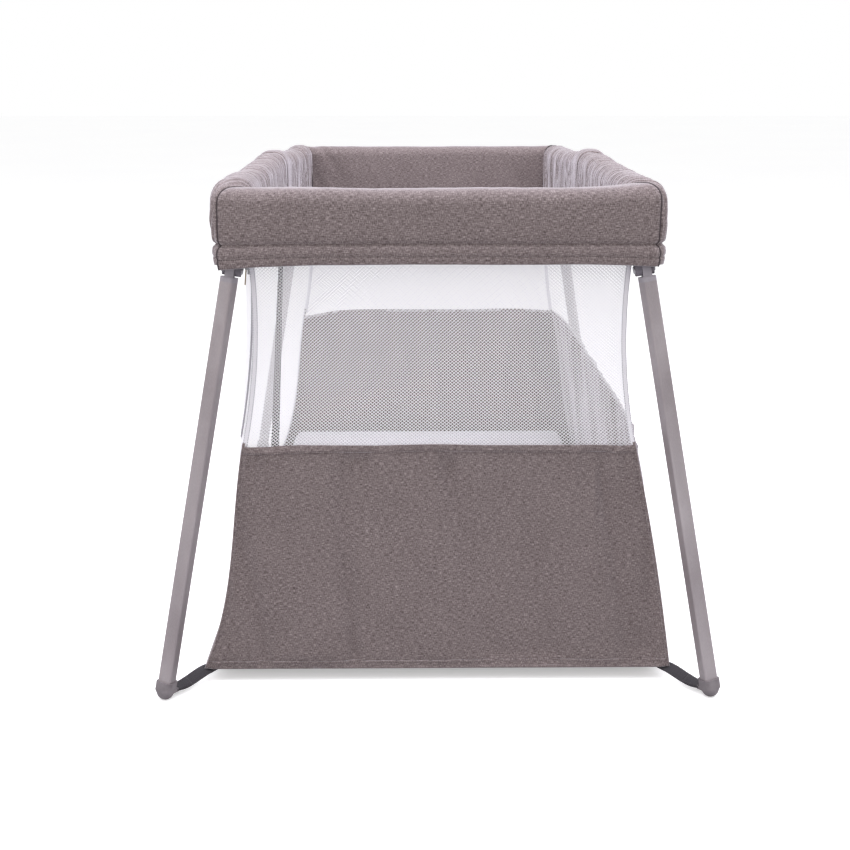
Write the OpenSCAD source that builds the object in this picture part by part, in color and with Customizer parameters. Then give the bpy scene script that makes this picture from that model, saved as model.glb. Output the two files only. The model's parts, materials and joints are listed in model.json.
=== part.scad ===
// Folding travel play yard. The padded top rail is a rectangle that folds over
// at its middle, four splayed legs fold up beside it, and a sewn body of
// netting and cloth hangs from it down to a mattress.
// Frame: X is the width, Y the length, Z up, the origin on the floor at the
// middle. Each corner piece is drawn once, for the corner at +X +Y, and
// mirrored to the other three.

/* [Top rail] */
// Width across the padded covers
rail_w = 600; // [500:5:720]
// Length across the padded covers
rail_l = 1160; // [960:5:1400]
// Height of the cover tops above the floor
top_h = 714; // [590:1:860]
// Outside diameter of the rail tubes
rail_d = 22; // [18:0.5:26]
// Wall of the rail tubes and leg tubes
tube_wall = 1.2; // [1:0.1:2]

/* [Covers] */
// Height of the padded covers
cover_h = 95; // [85:1:120]
// Thickness of the padded covers, outside face to inside face
cover_t = 46; // [44:1:56]
// Thickness of the quilted side of a cover
skirt_t = 6; // [4:0.5:6]
// Thickness of the padding on top of the rail
roof_t = 10; // [8:0.5:14]
// Radius of the padded top edges
cover_r = 14; // [8:1:20]

/* [Legs] */
// Side of the square leg tube
leg_s = 20; // [17:0.5:24]
// Radius of the leg tube's edges
leg_r = 3.5; // [2:0.5:5]
// How far a foot stands out sideways from its pivot
foot_out_x = 110; // [90:1:135]
// How far a foot stands out lengthways from its pivot
foot_out_y = 68; // [55:1:82]
// Turn of the leg tube about its own axis, in degrees
leg_twist = 20; // [0:1:30]
// Diameter of the leg pivot rivets and of the rail hinge pins
pin_d = 6; // [5:0.5:7]

/* [Sewn body] */
// How far the floor's sides stand out beyond the top of the walls
floor_out_x = 81; // [60:1:100]
// How far the floor's ends stand out beyond the top of the walls
floor_out_y = 23; // [10:1:40]
// Height of the floor above the ground
floor_z = 20; // [16:1:40]
// Height of the cloth band of the walls, above the ground
band_z = 356; // [290:1:425]
// Thickness of the netting and cloth walls
wall_t = 3; // [2:0.5:4]
// Width of the leg straps
strap_w = 18; // [14:1:25]

/* [Mattress] */
// Space between the mattress's sides and the edge of the floor
mattress_gap_x = 40; // [25:1:60]
// Space between the mattress's ends and the edge of the floor
mattress_gap_y = 37; // [25:1:60]
// Thickness of the mattress
mattress_t = 56; // [30:1:70]

/* [Door zip] */
// Distance of the zip from the corner, at the hem
zip_in = 34; // [24:1:80]

/* [Hidden] */
$fn = 48;

// A mirror of side -1 is the left, of end -1 the near end.
LEFT = -1;
RIGHT = 1;
NEAR = -1;
FAR = 1;

// Clearances
run_clear = 0.05;  // radial, of a pin or button that turns or slides
fit_clear = 0.05;  // radial, of a tube on its spigot and a rivet in its hole
body_gap = 0.4;    // between pieces that move apart, and between cloth and its neighbour
side_clear = 0.4;  // each side of a leg knuckle in its fork

// Rail frame
hem_z = top_h - cover_h;
rail_r = rail_d / 2;
rail_x = (rail_w - cover_t) / 2;
rail_y = (rail_l - cover_t) / 2;
rail_z = top_h - roof_t - rail_r;
spigot_d = rail_d - 2 * tube_wall - 2 * fit_clear;
spigot_l = 30;
cavity_w = cover_t - 2 * skirt_t;
cavity_z = top_h - roof_t + 0.2;
post_s = cavity_w - 4;              // side of the bracket's square post
post_face_x = rail_x - post_s / 2;  // where the end rail butts on the post
post_face_y = rail_y - post_s / 2;  // where a side rail butts on the post

// Leg pivot and the leg's lean. The pivot is low enough for the folded leg,
// whichever way its section is turned, to lie clear below the covers' hem.
leg_reach = sqrt(2) * (leg_s / 2 - leg_r) + leg_r;
pivot_x = rail_x + 5;
pivot_y = rail_y - 7;
pivot_z = hem_z - leg_reach - body_gap;
lean_x = atan(foot_out_x / pivot_z);
lean_y = atan(foot_out_y / norm([foot_out_x, pivot_z]));
leg_len = norm([foot_out_x, foot_out_y, pivot_z]);
foot_x = pivot_x + foot_out_x;
foot_y = pivot_y + foot_out_y;

// Fork of the bracket and knuckle of the leg
tongue_w = 12;
tongue_r = 10;
cheek_r = 9;
inner_cheek_t = 8.6;
outer_cheek_t = 4;
fork_in = tongue_w / 2 + side_clear;
fork_root_z = tongue_r + 2;
fork_root_h = 12;
post_z = pivot_z + fork_root_z + 4;
collar_z = 11;
collar_h = 7;
plug_l = 30;
pin_head_d = pin_d + 4;
pin_head_t = 2;
rivet_d = 4;
rivet_head_d = 7;
rivet_head_t = 1.2;
rivet_in = 12;   // from a tube's end to its rivet

// Lock button in the bracket post, pushed outwards
button_d = 8;
button_l = 12;
button_out = 3;
button_travel = 4;
button_z = post_z + 16;
button_bore_l = 19;
spring_wire = 0.8;
spring_turns = 4;

// Rail hinge at the middle of each long side
hinge_z = top_h + 2;
ear_r = 8;
ear_gap = 0.5;
outer_ear_w = 6.5;
hinge_face = 3;        // from the middle to a hinge block
hinge_block_end = 25;
hinge_block_z = rail_z - rail_r - 4;
cover_start = 14;
web_end = 12;
latch_d = 10;
latch_out = 6;
latch_in = 6;
latch_travel = 4;
latch_y = hinge_block_end / 2 + 1.5;

// Foot
foot_s = leg_s + 5;
foot_r = 6;
foot_h = 27;       // height of the cap, along the leg
tube_stop = 14;    // from the ground to the tube's end, along the leg
toe_r = foot_s / 2;
toe_up = 12;       // from the ground to the centre of the rounded toe, along the leg
lug_w = 18;
lug_t = 5;
lug_z = 7;
lug_out = toe_r + 7;  // from the foot's centre to the lug's tip
strap_t = 2;
strap_z = lug_z + 1.5;

// Walls of the sewn body. A corner seam is drawn in by the tension of the
// cloth, and each wall stands out from its corner seams between them.
wall_x = rail_w / 2 - cover_t + skirt_t - 1;  // outside of a side wall at the hem
wall_y = rail_l / 2 - cover_t + skirt_t - 1;  // outside of an end wall at the hem
floor_x = wall_x + floor_out_x;
floor_y = wall_y + floor_out_y;
seam_in = 9;        // how far a corner seam is drawn in at the middle of the netting
seam_out = 0.2;     // share of its way out to the floor that it has come by the top of the cloth band
fullness = 6;       // power of the curve from a corner seam to the full wall
cols = 10;
floor_t = 4;
mattress_r = 30;
mattress_up = 0.3;  // from the floor panel to the mattress

// Door zip
zip_half = 5;
zip_t = 1;
tape_off = 0.5;     // from the wall to the tape
slider_off = 0.6;   // from the tape to the slider
slider_h = 12;
slider_w = 8;
slider_t = 3;
bar_x = 5.6;        // from the slider's back to the middle of its bar
bar_z = 4;          // from the slider's top to the middle of its bar
bar_d = 2;
barrel_w = 3.8;
ear_w = 1.5;
pull_l = 24;

function drop(z) = (hem_z - z) / (hem_z - floor_z);
function side_x(z) = wall_x + (floor_x - wall_x) * drop(z);
function end_y(z) = wall_y + (floor_y - wall_y) * drop(z);

// Corner seam: drawn in like a bow down to the cloth band, then straight to the floor.
function seam(z, top, low) =
    let (t = (hem_z - z) / (hem_z - band_z), band = top + seam_out * (low - top))
    z >= band_z ? top + (band - top) * t - 4 * seam_in * t * (1 - t)
        : band + (low - band) * (band_z - z) / (band_z - floor_z);
function seam_x(z) = seam(z, wall_x, floor_x);
function seam_y(z) = seam(z, wall_y, floor_y);

// Outside of the right wall and of the far end wall.
function wall_out_x(y, z) =
    seam_x(z) + (side_x(z) - seam_x(z)) * (1 - pow(abs(y) / seam_y(z), fullness));
function wall_out_y(x, z) =
    seam_y(z) + (end_y(z) - seam_y(z)) * (1 - pow(min(abs(x) / seam_x(z), 1), fullness));

function steps(a, b, n) = [for (i = [0:n]) a + (b - a) * i / n];

// ---------------------------------------------------------------- helpers

module at_corner(side, end) {
    mirror([side < 0 ? 1 : 0, 0, 0]) mirror([0, end < 0 ? 1 : 0, 0]) children();
}

module round_square(s, r) {
    square([s, s - 2 * r], center = true);
    square([s - 2 * r, s], center = true);
    for (x = [-1, 1], y = [-1, 1])
        translate([x * (s / 2 - r), y * (s / 2 - r)]) circle(r);
}

module block(x, y, z) {
    translate([x[0], y[0], z[0]]) cube([x[1] - x[0], y[1] - y[0], z[1] - z[0]]);
}

module x_rod(d, x) {
    translate([x[0], 0, 0]) rotate([0, 90, 0]) cylinder(d = d, h = x[1] - x[0]);
}

module y_rod(d, y) {
    translate([0, y[1], 0]) rotate([90, 0, 0]) cylinder(d = d, h = y[1] - y[0]);
}

// The fork's frame: the pivot at the origin, its axis along X.
module fork_frame() {
    translate([pivot_x, pivot_y, pivot_z]) rotate([0, -lean_x, 0]) children();
}

// The leg's frame: the pivot at the origin, the leg along -Z.
module leg_frame() {
    fork_frame() rotate([lean_y, 0, 0]) children();
}

module leg_section(s, r) {
    rotate([0, 0, -leg_twist]) round_square(s, r);
}

// A closed sheet between two grids of points, outer[i][j] and inner[i][j].
module sheet(outer, inner) {
    n = len(outer);
    m = len(outer[0]);
    points = [for (g = [outer, inner], i = [0:n - 1], j = [0:m - 1]) g[i][j]];
    function o(i, j) = i * m + j;
    function q(i, j) = n * m + i * m + j;
    quads = concat(
        [for (i = [0:n - 2], j = [0:m - 2]) [o(i, j), o(i, j + 1), o(i + 1, j + 1), o(i + 1, j)]],
        [for (i = [0:n - 2], j = [0:m - 2]) [q(i, j), q(i + 1, j), q(i + 1, j + 1), q(i, j + 1)]],
        [for (j = [0:m - 2]) [q(0, j), q(0, j + 1), o(0, j + 1), o(0, j)]],
        [for (j = [0:m - 2]) [o(n - 1, j), o(n - 1, j + 1), q(n - 1, j + 1), q(n - 1, j)]],
        [for (i = [0:n - 2]) [o(i, 0), o(i + 1, 0), q(i + 1, 0), q(i, 0)]],
        [for (i = [0:n - 2]) [q(i, m - 1), q(i + 1, m - 1), o(i + 1, m - 1), o(i, m - 1)]]
    );
    faces = [for (f = quads, t = [[f[0], f[1], f[2]], [f[0], f[2], f[3]]]) t];
    polyhedron(points = points, faces = faces);
}

// Half of the right wall, from the middle to the far end wall.
module side_wall(z0, z1, rows) {
    function last(z) = seam_y(z) - wall_t - body_gap;
    function y_at(i, z) = body_gap + (last(z) - body_gap) * sqrt(i / cols);
    outer = [for (i = [0:cols]) [for (z = steps(z0, z1, rows))
        [wall_out_x(y_at(i, z), z), y_at(i, z), z]]];
    inner = [for (i = [0:cols]) [for (z = steps(z0, z1, rows))
        [wall_out_x(y_at(i, z), z) - wall_t, y_at(i, z), z]]];
    sheet(outer, inner);
}

// The far end wall, from side to side.
module end_wall(z0, z1, rows) {
    function x_at(i, z) = let (u = 1 - 2 * i / (2 * cols))
        seam_x(z) * sign(u) * (1 - pow(1 - abs(u), 2));
    outer = [for (i = [0:2 * cols]) [for (z = steps(z0, z1, rows))
        [x_at(i, z), wall_out_y(x_at(i, z), z), z]]];
    inner = [for (i = [0:2 * cols]) [for (z = steps(z0, z1, rows))
        [x_at(i, z), wall_out_y(x_at(i, z), z) - wall_t, z]]];
    sheet(outer, inner);
}

// ---------------------------------------------------------------- rail frame

module rail_tube(length) {
    difference() {
        x_rod(rail_d, [0, length]);
        x_rod(rail_d - 2 * tube_wall, [-1, length + 1]);
        for (x = [rivet_in, length - rivet_in])
            translate([x, 0, -rail_d]) cylinder(d = rivet_d + 2 * fit_clear, h = rail_d);
    }
}

module end_rail(end) {
    color("silver") at_corner(RIGHT, end)
        translate([-post_face_x, rail_y, rail_z]) rail_tube(2 * post_face_x);
}

module side_rails(end) {
    color("silver") for (side = [LEFT, RIGHT]) at_corner(side, end)
        translate([rail_x, hinge_block_end, rail_z]) rotate([0, 0, 90])
            rail_tube(post_face_y - hinge_block_end);
}

// A spigot that plugs a rail tube, with its rivet hole, along +X.
module spigot() {
    difference() {
        x_rod(spigot_d, [-1, spigot_l]);
        translate([rivet_in, 0, -rail_d]) cylinder(d = rivet_d + 2 * fit_clear, h = rail_d);
    }
}

module rivet() {
    translate([rivet_in, 0, -rail_r - rivet_head_t]) {
        cylinder(d = rivet_head_d, h = rivet_head_t);
        cylinder(d = rivet_d, h = rail_r);
    }
}

module rivets(end) {
    color("gainsboro") for (side = [LEFT, RIGHT]) at_corner(side, end) {
        translate([post_face_x, rail_y, rail_z]) rotate([0, 0, 180]) rivet();
        translate([rail_x, post_face_y, rail_z]) rotate([0, 0, -90]) rivet();
        translate([rail_x, hinge_block_end, rail_z]) rotate([0, 0, 90]) rivet();
    }
}

module cheek(x) {
    block(x, [-cheek_r, cheek_r], [0, fork_root_z + fork_root_h]);
    x_rod(2 * cheek_r, x);
}

module bracket(side, end) {
    color("dimgray") at_corner(side, end) difference() {
        union() {
            block([post_face_x, rail_x + post_s / 2], [post_face_y, rail_y + post_s / 2],
                [post_z, rail_z + rail_r]);
            translate([post_face_x, rail_y, rail_z]) rotate([0, 0, 180]) spigot();
            translate([rail_x, post_face_y, rail_z]) rotate([0, 0, -90]) spigot();
            fork_frame() {
                cheek([fork_in, fork_in + outer_cheek_t]);
                cheek([-fork_in - inner_cheek_t, -fork_in]);
                block([-fork_in - inner_cheek_t, fork_in + outer_cheek_t],
                    [-cheek_r, cheek_r], [fork_root_z, fork_root_z + fork_root_h]);
            }
        }
        fork_frame() x_rod(pin_d, [-post_s, post_s]);
        translate([post_face_x, pivot_y, button_z])
            x_rod(button_d + 2 * run_clear, [-button_out, button_bore_l]);
    }
}

module leg_pin(side, end) {
    inner = -fork_in - inner_cheek_t;
    outer = fork_in + outer_cheek_t;
    color("gainsboro") at_corner(side, end) fork_frame() {
        x_rod(pin_d, [inner, outer]);
        x_rod(pin_head_d, [inner - pin_head_t, inner]);
        x_rod(pin_head_d, [outer, outer + pin_head_t]);
    }
}

module lock_button(side, end) {
    color("gray") at_corner(side, end) translate([post_face_x, pivot_y, button_z])
        x_rod(button_d, [-button_out, button_l - button_out]);
}

// A coil spring of round wire, swept along a helix, between the button and the
// bottom of its bore.
module button_spring(side, end) {
    turn_steps = 10;
    sides = 6;
    first = button_l - button_out + spring_wire / 2 + 0.1;
    last = button_bore_l - spring_wire / 2 - 0.1;
    r = button_d / 2 - spring_wire - 0.3;
    n = spring_turns * turn_steps;
    rings = [for (i = [0:n], k = [0:sides - 1])
        let (a = 360 * i / turn_steps, b = 360 * k / sides, w = spring_wire / 2,
            x = first + (last - first) * i / n, d = r + w * cos(b))
        [x + w * sin(b), d * cos(a), d * sin(a)]];
    walls = [for (i = [0:n - 1], k = [0:sides - 1])
        let (p = i * sides + k, q = i * sides + (k + 1) % sides)
        [p, p + sides, q + sides, q]];
    ends = [[for (k = [0:sides - 1]) k], [for (k = [sides - 1:-1:0]) n * sides + k]];
    faces = concat(ends, [for (f = walls, t = [[f[0], f[1], f[2]], [f[0], f[2], f[3]]]) t]);
    color("gainsboro") at_corner(side, end) translate([post_face_x, pivot_y, button_z])
        polyhedron(points = rings, faces = faces);
}

// ---------------------------------------------------------------- rail hinges

// The block on a side rail's end, with the ears that the hinge pin passes.
// Ears is a list of ranges along X from the rail's axis.
module hinge_knuckle(ears) {
    translate([rail_x, 0, 0]) {
        block([-post_s / 2, post_s / 2], [hinge_face, hinge_block_end],
            [hinge_block_z, rail_z + rail_r]);
        translate([0, hinge_block_end, rail_z]) rotate([0, 0, 90]) spigot();
        for (e = ears) difference() {
            union() {
                block(e, [0, web_end], [rail_z + rail_r - 1, hinge_z]);
                translate([0, 0, hinge_z]) x_rod(2 * ear_r, e);
            }
            block([e[0] - 1, e[1] + 1], [-ear_r - 1, hinge_face],
                [rail_z - rail_r, hinge_z - ear_r - 0.01]);
        }
    }
}

module hinge_knuckles(end) {
    half = post_s / 2;
    inner = half - outer_ear_w - ear_gap;
    ears = end == FAR ? [[-half, outer_ear_w - half], [half - outer_ear_w, half]]
        : [[-inner, inner]];
    bore = end == FAR ? pin_d : pin_d + 2 * run_clear;
    color("dimgray") for (side = [LEFT, RIGHT]) at_corner(side, end) difference() {
        hinge_knuckle(ears);
        translate([rail_x, 0, hinge_z]) x_rod(bore, [-half - 1, half + 1]);
        if (end == FAR)
            translate([rail_x, latch_y, hinge_block_z - 1])
                cylinder(d = latch_d + 2 * run_clear, h = latch_in + latch_travel + 2);
    }
}

module rail_hinge_pins() {
    color("gainsboro") for (side = [LEFT, RIGHT]) at_corner(side, FAR)
        translate([rail_x, 0, hinge_z]) x_rod(pin_d, [-post_s / 2, post_s / 2]);
}

module latch(side) {
    color("gray") at_corner(side, FAR) translate([rail_x, latch_y, hinge_block_z - latch_out])
        cylinder(d = latch_d, h = latch_out + latch_in);
}

// ---------------------------------------------------------------- legs

module leg_knuckle(side, end) {
    plug_s = leg_s - 2 * tube_wall - 2 * fit_clear;
    color("darkgray") at_corner(side, end) leg_frame() difference() {
        union() {
            x_rod(2 * tongue_r, [-tongue_w / 2, tongue_w / 2]);
            block([-tongue_w / 2, tongue_w / 2], [-tongue_r, tongue_r], [-collar_z - 1, 0]);
            translate([0, 0, -collar_z - collar_h]) linear_extrude(collar_h)
                leg_section(leg_s, leg_r);
            translate([0, 0, -collar_z - collar_h - plug_l]) linear_extrude(plug_l + 1)
                leg_section(plug_s, leg_r - tube_wall);
        }
        x_rod(pin_d + 2 * run_clear, [-tongue_w, tongue_w]);
    }
}

module leg_tube(side, end) {
    bottom = leg_len - tube_stop;
    top = collar_z + collar_h;
    color("silver") at_corner(side, end) leg_frame()
        translate([0, 0, -bottom]) linear_extrude(bottom - top) difference() {
            leg_section(leg_s, leg_r);
            leg_section(leg_s - 2 * tube_wall, leg_r - tube_wall);
        }
}

// Turns +X to point from the foot to the corner of the floor.
module foot_frame() {
    translate([foot_x, foot_y, 0])
        rotate([0, 0, atan2(floor_y - foot_y, floor_x - foot_x)]) children();
}

module foot(side, end) {
    color("gray") at_corner(side, end) {
        difference() {
            intersection() {
                leg_frame() hull() {
                    translate([0, 0, -leg_len + foot_h - 1]) linear_extrude(1)
                        leg_section(foot_s, foot_r, $fn = 32);
                    translate([0, 0, -leg_len + toe_up + 2]) linear_extrude(1)
                        leg_section(foot_s, foot_r, $fn = 32);
                    translate([0, 0, -leg_len + toe_up]) sphere(toe_r, $fn = 32);
                }
                translate([foot_x - 50, foot_y - 50, 0]) cube([100, 100, 60]);
            }
            leg_frame() translate([0, 0, -leg_len + tube_stop - fit_clear])
                linear_extrude(foot_h) leg_section(leg_s + 2 * fit_clear, leg_r);
        }
        foot_frame() difference() {
            block([toe_r - 3, lug_out], [-lug_w / 2, lug_w / 2], [lug_z, lug_z + lug_t]);
            block([toe_r + 1.5, toe_r + 5], [-lug_w / 2 + 2, lug_w / 2 - 2],
                [lug_z - 1, lug_z + lug_t + 1]);
        }
    }
}

// The webbing from a foot's lug to the corner of the floor.
module straps(end) {
    reach = norm([foot_x - floor_x, foot_y - floor_y]);
    color("darkslategray") for (side = [LEFT, RIGHT]) at_corner(side, end) foot_frame() hull() {
        block([lug_out + body_gap, lug_out + body_gap + 1], [-strap_w / 2, strap_w / 2],
            [strap_z, strap_z + strap_t]);
        block([reach - body_gap - 1, reach - body_gap], [-strap_w / 2, strap_w / 2],
            [floor_z + 1, floor_z + 1 + strap_t]);
    }
}

// ---------------------------------------------------------------- padded covers

module cover_outline() {
    half = cover_t / 2;
    translate([-half, hem_z]) square([cover_t, cover_h - cover_r]);
    translate([cover_r - half, hem_z]) square([cover_t - 2 * cover_r, cover_h]);
    for (s = [-1, 1])
        translate([s * (half - cover_r), top_h - cover_r]) circle(cover_r);
}

module cavity_outline() {
    translate([-cavity_w / 2, hem_z - 1]) square([cavity_w, cavity_z - hem_z + 1]);
}

module side_cover(side, end) {
    length = rail_l / 2 - cover_t - body_gap - cover_start;
    color("rosybrown") at_corner(side, end)
        translate([rail_x, cover_start + length, 0]) rotate([90, 0, 0])
            linear_extrude(length) difference() {
                cover_outline();
                cavity_outline();
            }
}

module end_cover(end) {
    half_w = rail_w / 2;
    color("rosybrown") at_corner(RIGHT, end) difference() {
        intersection() {
            translate([-half_w, rail_y, 0]) rotate([90, 0, 90])
                linear_extrude(rail_w) cover_outline();
            linear_extrude(top_h + 1) {
                translate([-half_w, rail_y - cover_t]) square([rail_w, 1.5 * cover_t - cover_r]);
                translate([cover_r - half_w, rail_y]) square([rail_w - 2 * cover_r, cover_t / 2]);
                for (s = [-1, 1])
                    translate([s * (half_w - cover_r), rail_l / 2 - cover_r]) circle(cover_r);
            }
        }
        translate([skirt_t - half_w, rail_y, 0]) rotate([90, 0, 90])
            linear_extrude(rail_w - 2 * skirt_t) cavity_outline();
        for (s = [-1, 1]) translate([s * rail_x - cavity_w / 2, rail_y - cover_t / 2 - 1, hem_z - 1])
            cube([cavity_w, skirt_t + 2, cavity_z - hem_z + 1]);
    }
}

// ---------------------------------------------------------------- sewn body

module end_netting(end) {
    color("white") at_corner(RIGHT, end) end_wall(band_z + body_gap, hem_z, 8);
}

module end_cloth(end) {
    color("rosybrown") at_corner(RIGHT, end) end_wall(floor_z, band_z, 4);
}

module left_netting(end) {
    color("white") at_corner(LEFT, end) side_wall(floor_z, hem_z, 14);
}

module right_netting(end) {
    color("white") at_corner(RIGHT, end) side_wall(band_z + body_gap, hem_z, 8);
}

module right_cloth(end) {
    color("rosybrown") at_corner(RIGHT, end) side_wall(floor_z, band_z, 4);
}

module floor_panel(end) {
    x = floor_x - wall_t - 1;
    y = floor_y - wall_t - 1;
    color("rosybrown") at_corner(RIGHT, end)
        block([-x, x], [body_gap, y], [floor_z, floor_z + floor_t]);
}

module mattress(end) {
    x = floor_x - mattress_gap_x;
    y = floor_y - mattress_gap_y;
    color("whitesmoke") at_corner(RIGHT, end)
        translate([0, 0, floor_z + floor_t + mattress_up]) linear_extrude(mattress_t) {
            translate([-x, body_gap]) square([2 * x, y - body_gap - mattress_r]);
            translate([mattress_r - x, y - mattress_r - 1]) square([2 * (x - mattress_r), mattress_r + 1]);
            for (s = [-1, 1])
                translate([s * (x - mattress_r), y - mattress_r]) circle(mattress_r);
        }
}

// ---------------------------------------------------------------- door zip

zip_y = wall_y - zip_in;
zip_top = hem_z - 15;
zip_low = band_z + 2 + slider_h;
zip_top_x = wall_out_x(zip_y, zip_top);
zip_low_x = wall_out_x(zip_y, zip_low - slider_h);
zip_lean = atan((zip_low_x - zip_top_x) / (zip_top - zip_low));
slider_gap = tape_off + zip_t + slider_off;

module zip_tape() {
    zs = steps(band_z + 1, hem_z - 1, 10);
    ys = [zip_y - zip_half, zip_y + zip_half];
    color("gray") at_corner(LEFT, NEAR) sheet(
        [for (y = ys) [for (z = zs) [wall_out_x(y, z) + tape_off + zip_t, y, z]]],
        [for (y = ys) [for (z = zs) [wall_out_x(y, z) + tape_off, y, z]]]
    );
}

// The slider's frame: on the tape at the top of its run, the run along -Z.
module slider_frame() {
    translate([zip_top_x + slider_gap, zip_y, zip_top]) rotate([0, -zip_lean, 0]) children();
}

module zip_slider() {
    ear_in = barrel_w / 2 + 0.35;
    color("silver") at_corner(LEFT, NEAR) slider_frame() {
        block([0, slider_t], [-slider_w / 2, slider_w / 2], [-slider_h, 0]);
        for (s = [-1, 1]) translate([0, s * (ear_in + ear_w / 2), 0])
            block([slider_t - 1, bar_x + 1], [-ear_w / 2, ear_w / 2], [-bar_z - 2, 2 - bar_z]);
        translate([bar_x, 0, -bar_z]) y_rod(bar_d, [-ear_in - 1, ear_in + 1]);
    }
}

module zip_pull() {
    color("beige") at_corner(LEFT, NEAR) slider_frame() translate([bar_x, 0, -bar_z]) difference() {
        union() {
            y_rod(bar_d + 2, [-barrel_w / 2, barrel_w / 2]);
            block([-0.8, 0.8], [-barrel_w / 2, barrel_w / 2], [-pull_l, 0]);
        }
        y_rod(bar_d + 2 * run_clear, [-barrel_w, barrel_w]);
    }
}

// ---------------------------------------------------------------- pieces

end_rail(FAR);  // far_end_rail
end_rail(NEAR);  // near_end_rail
side_rails(FAR);  // far_side_rails
side_rails(NEAR);  // near_side_rails
bracket(LEFT, FAR);  // far_left_bracket
bracket(RIGHT, FAR);  // far_right_bracket
bracket(LEFT, NEAR);  // near_left_bracket
bracket(RIGHT, NEAR);  // near_right_bracket
hinge_knuckles(FAR);  // far_hinge_knuckles
hinge_knuckles(NEAR);  // near_hinge_knuckles
rail_hinge_pins();
latch(LEFT);  // left_latch
latch(RIGHT);  // right_latch
rivets(FAR);  // far_rivets
rivets(NEAR);  // near_rivets
for (s = [LEFT, RIGHT]) leg_pin(s, FAR);  // far_leg_pins
for (s = [LEFT, RIGHT]) leg_pin(s, NEAR);  // near_leg_pins
lock_button(LEFT, FAR);  // far_left_button
lock_button(RIGHT, FAR);  // far_right_button
lock_button(LEFT, NEAR);  // near_left_button
lock_button(RIGHT, NEAR);  // near_right_button
for (s = [LEFT, RIGHT]) button_spring(s, FAR);  // far_button_springs
for (s = [LEFT, RIGHT]) button_spring(s, NEAR);  // near_button_springs
leg_knuckle(LEFT, FAR);  // far_left_knuckle
leg_knuckle(RIGHT, FAR);  // far_right_knuckle
leg_knuckle(LEFT, NEAR);  // near_left_knuckle
leg_knuckle(RIGHT, NEAR);  // near_right_knuckle
leg_tube(LEFT, FAR);  // far_left_leg
leg_tube(RIGHT, FAR);  // far_right_leg
leg_tube(LEFT, NEAR);  // near_left_leg
leg_tube(RIGHT, NEAR);  // near_right_leg
foot(LEFT, FAR);  // far_left_foot
foot(RIGHT, FAR);  // far_right_foot
foot(LEFT, NEAR);  // near_left_foot
foot(RIGHT, NEAR);  // near_right_foot
straps(FAR);  // far_straps
straps(NEAR);  // near_straps
end_cover(FAR);  // far_end_cover
end_cover(NEAR);  // near_end_cover
side_cover(LEFT, FAR);  // far_left_cover
side_cover(RIGHT, FAR);  // far_right_cover
side_cover(LEFT, NEAR);  // near_left_cover
side_cover(RIGHT, NEAR);  // near_right_cover
end_netting(FAR);  // far_end_netting
end_netting(NEAR);  // near_end_netting
end_cloth(FAR);  // far_end_cloth
end_cloth(NEAR);  // near_end_cloth
left_netting(FAR);  // far_left_netting
left_netting(NEAR);  // near_left_netting
right_netting(FAR);  // far_right_netting
right_netting(NEAR);  // near_right_netting
right_cloth(FAR);  // far_right_cloth
right_cloth(NEAR);  // near_right_cloth
floor_panel(FAR);  // far_floor
floor_panel(NEAR);  // near_floor
mattress(FAR);  // far_mattress
mattress(NEAR);  // near_mattress
zip_tape();
zip_slider();
zip_pull();
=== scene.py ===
"""Folding travel play yard: its padded covers, netting, cloth, mattress and trimmings.

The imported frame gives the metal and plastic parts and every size. The soft goods
are worked out here as surfaces in metres, in the frame's own axes: X is the
width, Y the length, Z up, and the near end is at -Y.
"""
import json
import math

import bpy
import numpy as np
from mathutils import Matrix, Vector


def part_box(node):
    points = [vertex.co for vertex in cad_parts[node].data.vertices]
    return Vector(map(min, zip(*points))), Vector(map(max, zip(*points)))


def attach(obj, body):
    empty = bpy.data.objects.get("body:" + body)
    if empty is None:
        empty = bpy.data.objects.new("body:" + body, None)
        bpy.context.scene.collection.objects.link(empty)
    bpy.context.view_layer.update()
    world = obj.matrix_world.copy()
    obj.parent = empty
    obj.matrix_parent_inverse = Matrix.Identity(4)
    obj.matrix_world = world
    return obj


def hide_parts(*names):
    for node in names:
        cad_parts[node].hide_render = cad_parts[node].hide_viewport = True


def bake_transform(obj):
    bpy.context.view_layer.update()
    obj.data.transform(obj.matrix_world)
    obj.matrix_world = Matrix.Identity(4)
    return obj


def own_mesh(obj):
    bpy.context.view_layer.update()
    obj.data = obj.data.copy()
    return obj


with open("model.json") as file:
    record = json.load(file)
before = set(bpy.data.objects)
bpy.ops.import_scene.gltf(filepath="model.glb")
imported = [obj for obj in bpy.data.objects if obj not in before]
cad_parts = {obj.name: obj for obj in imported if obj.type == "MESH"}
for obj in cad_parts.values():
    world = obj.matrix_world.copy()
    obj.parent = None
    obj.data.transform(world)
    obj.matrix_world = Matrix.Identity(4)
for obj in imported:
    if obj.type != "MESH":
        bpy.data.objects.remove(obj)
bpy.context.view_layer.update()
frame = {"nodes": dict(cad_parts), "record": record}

MM = 0.001
NEAR = -1
FAR = 1
LEFT = -1
RIGHT = 1
ENDS = {"near": NEAR, "far": FAR}
SIDES = {"left": LEFT, "right": RIGHT}


def half_of(end):
    """The frame half that an end's soft goods ride on."""
    return "far_half" if end == FAR else "near_half"


def end_name(end):
    """The word for an end in the pieces' names."""
    return "far" if end == FAR else "near"


def side_name(side):
    """The word for a side in the pieces' names."""
    return "right" if side == RIGHT else "left"


# ------------------------------------------------------------ sizes from the frame

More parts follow.
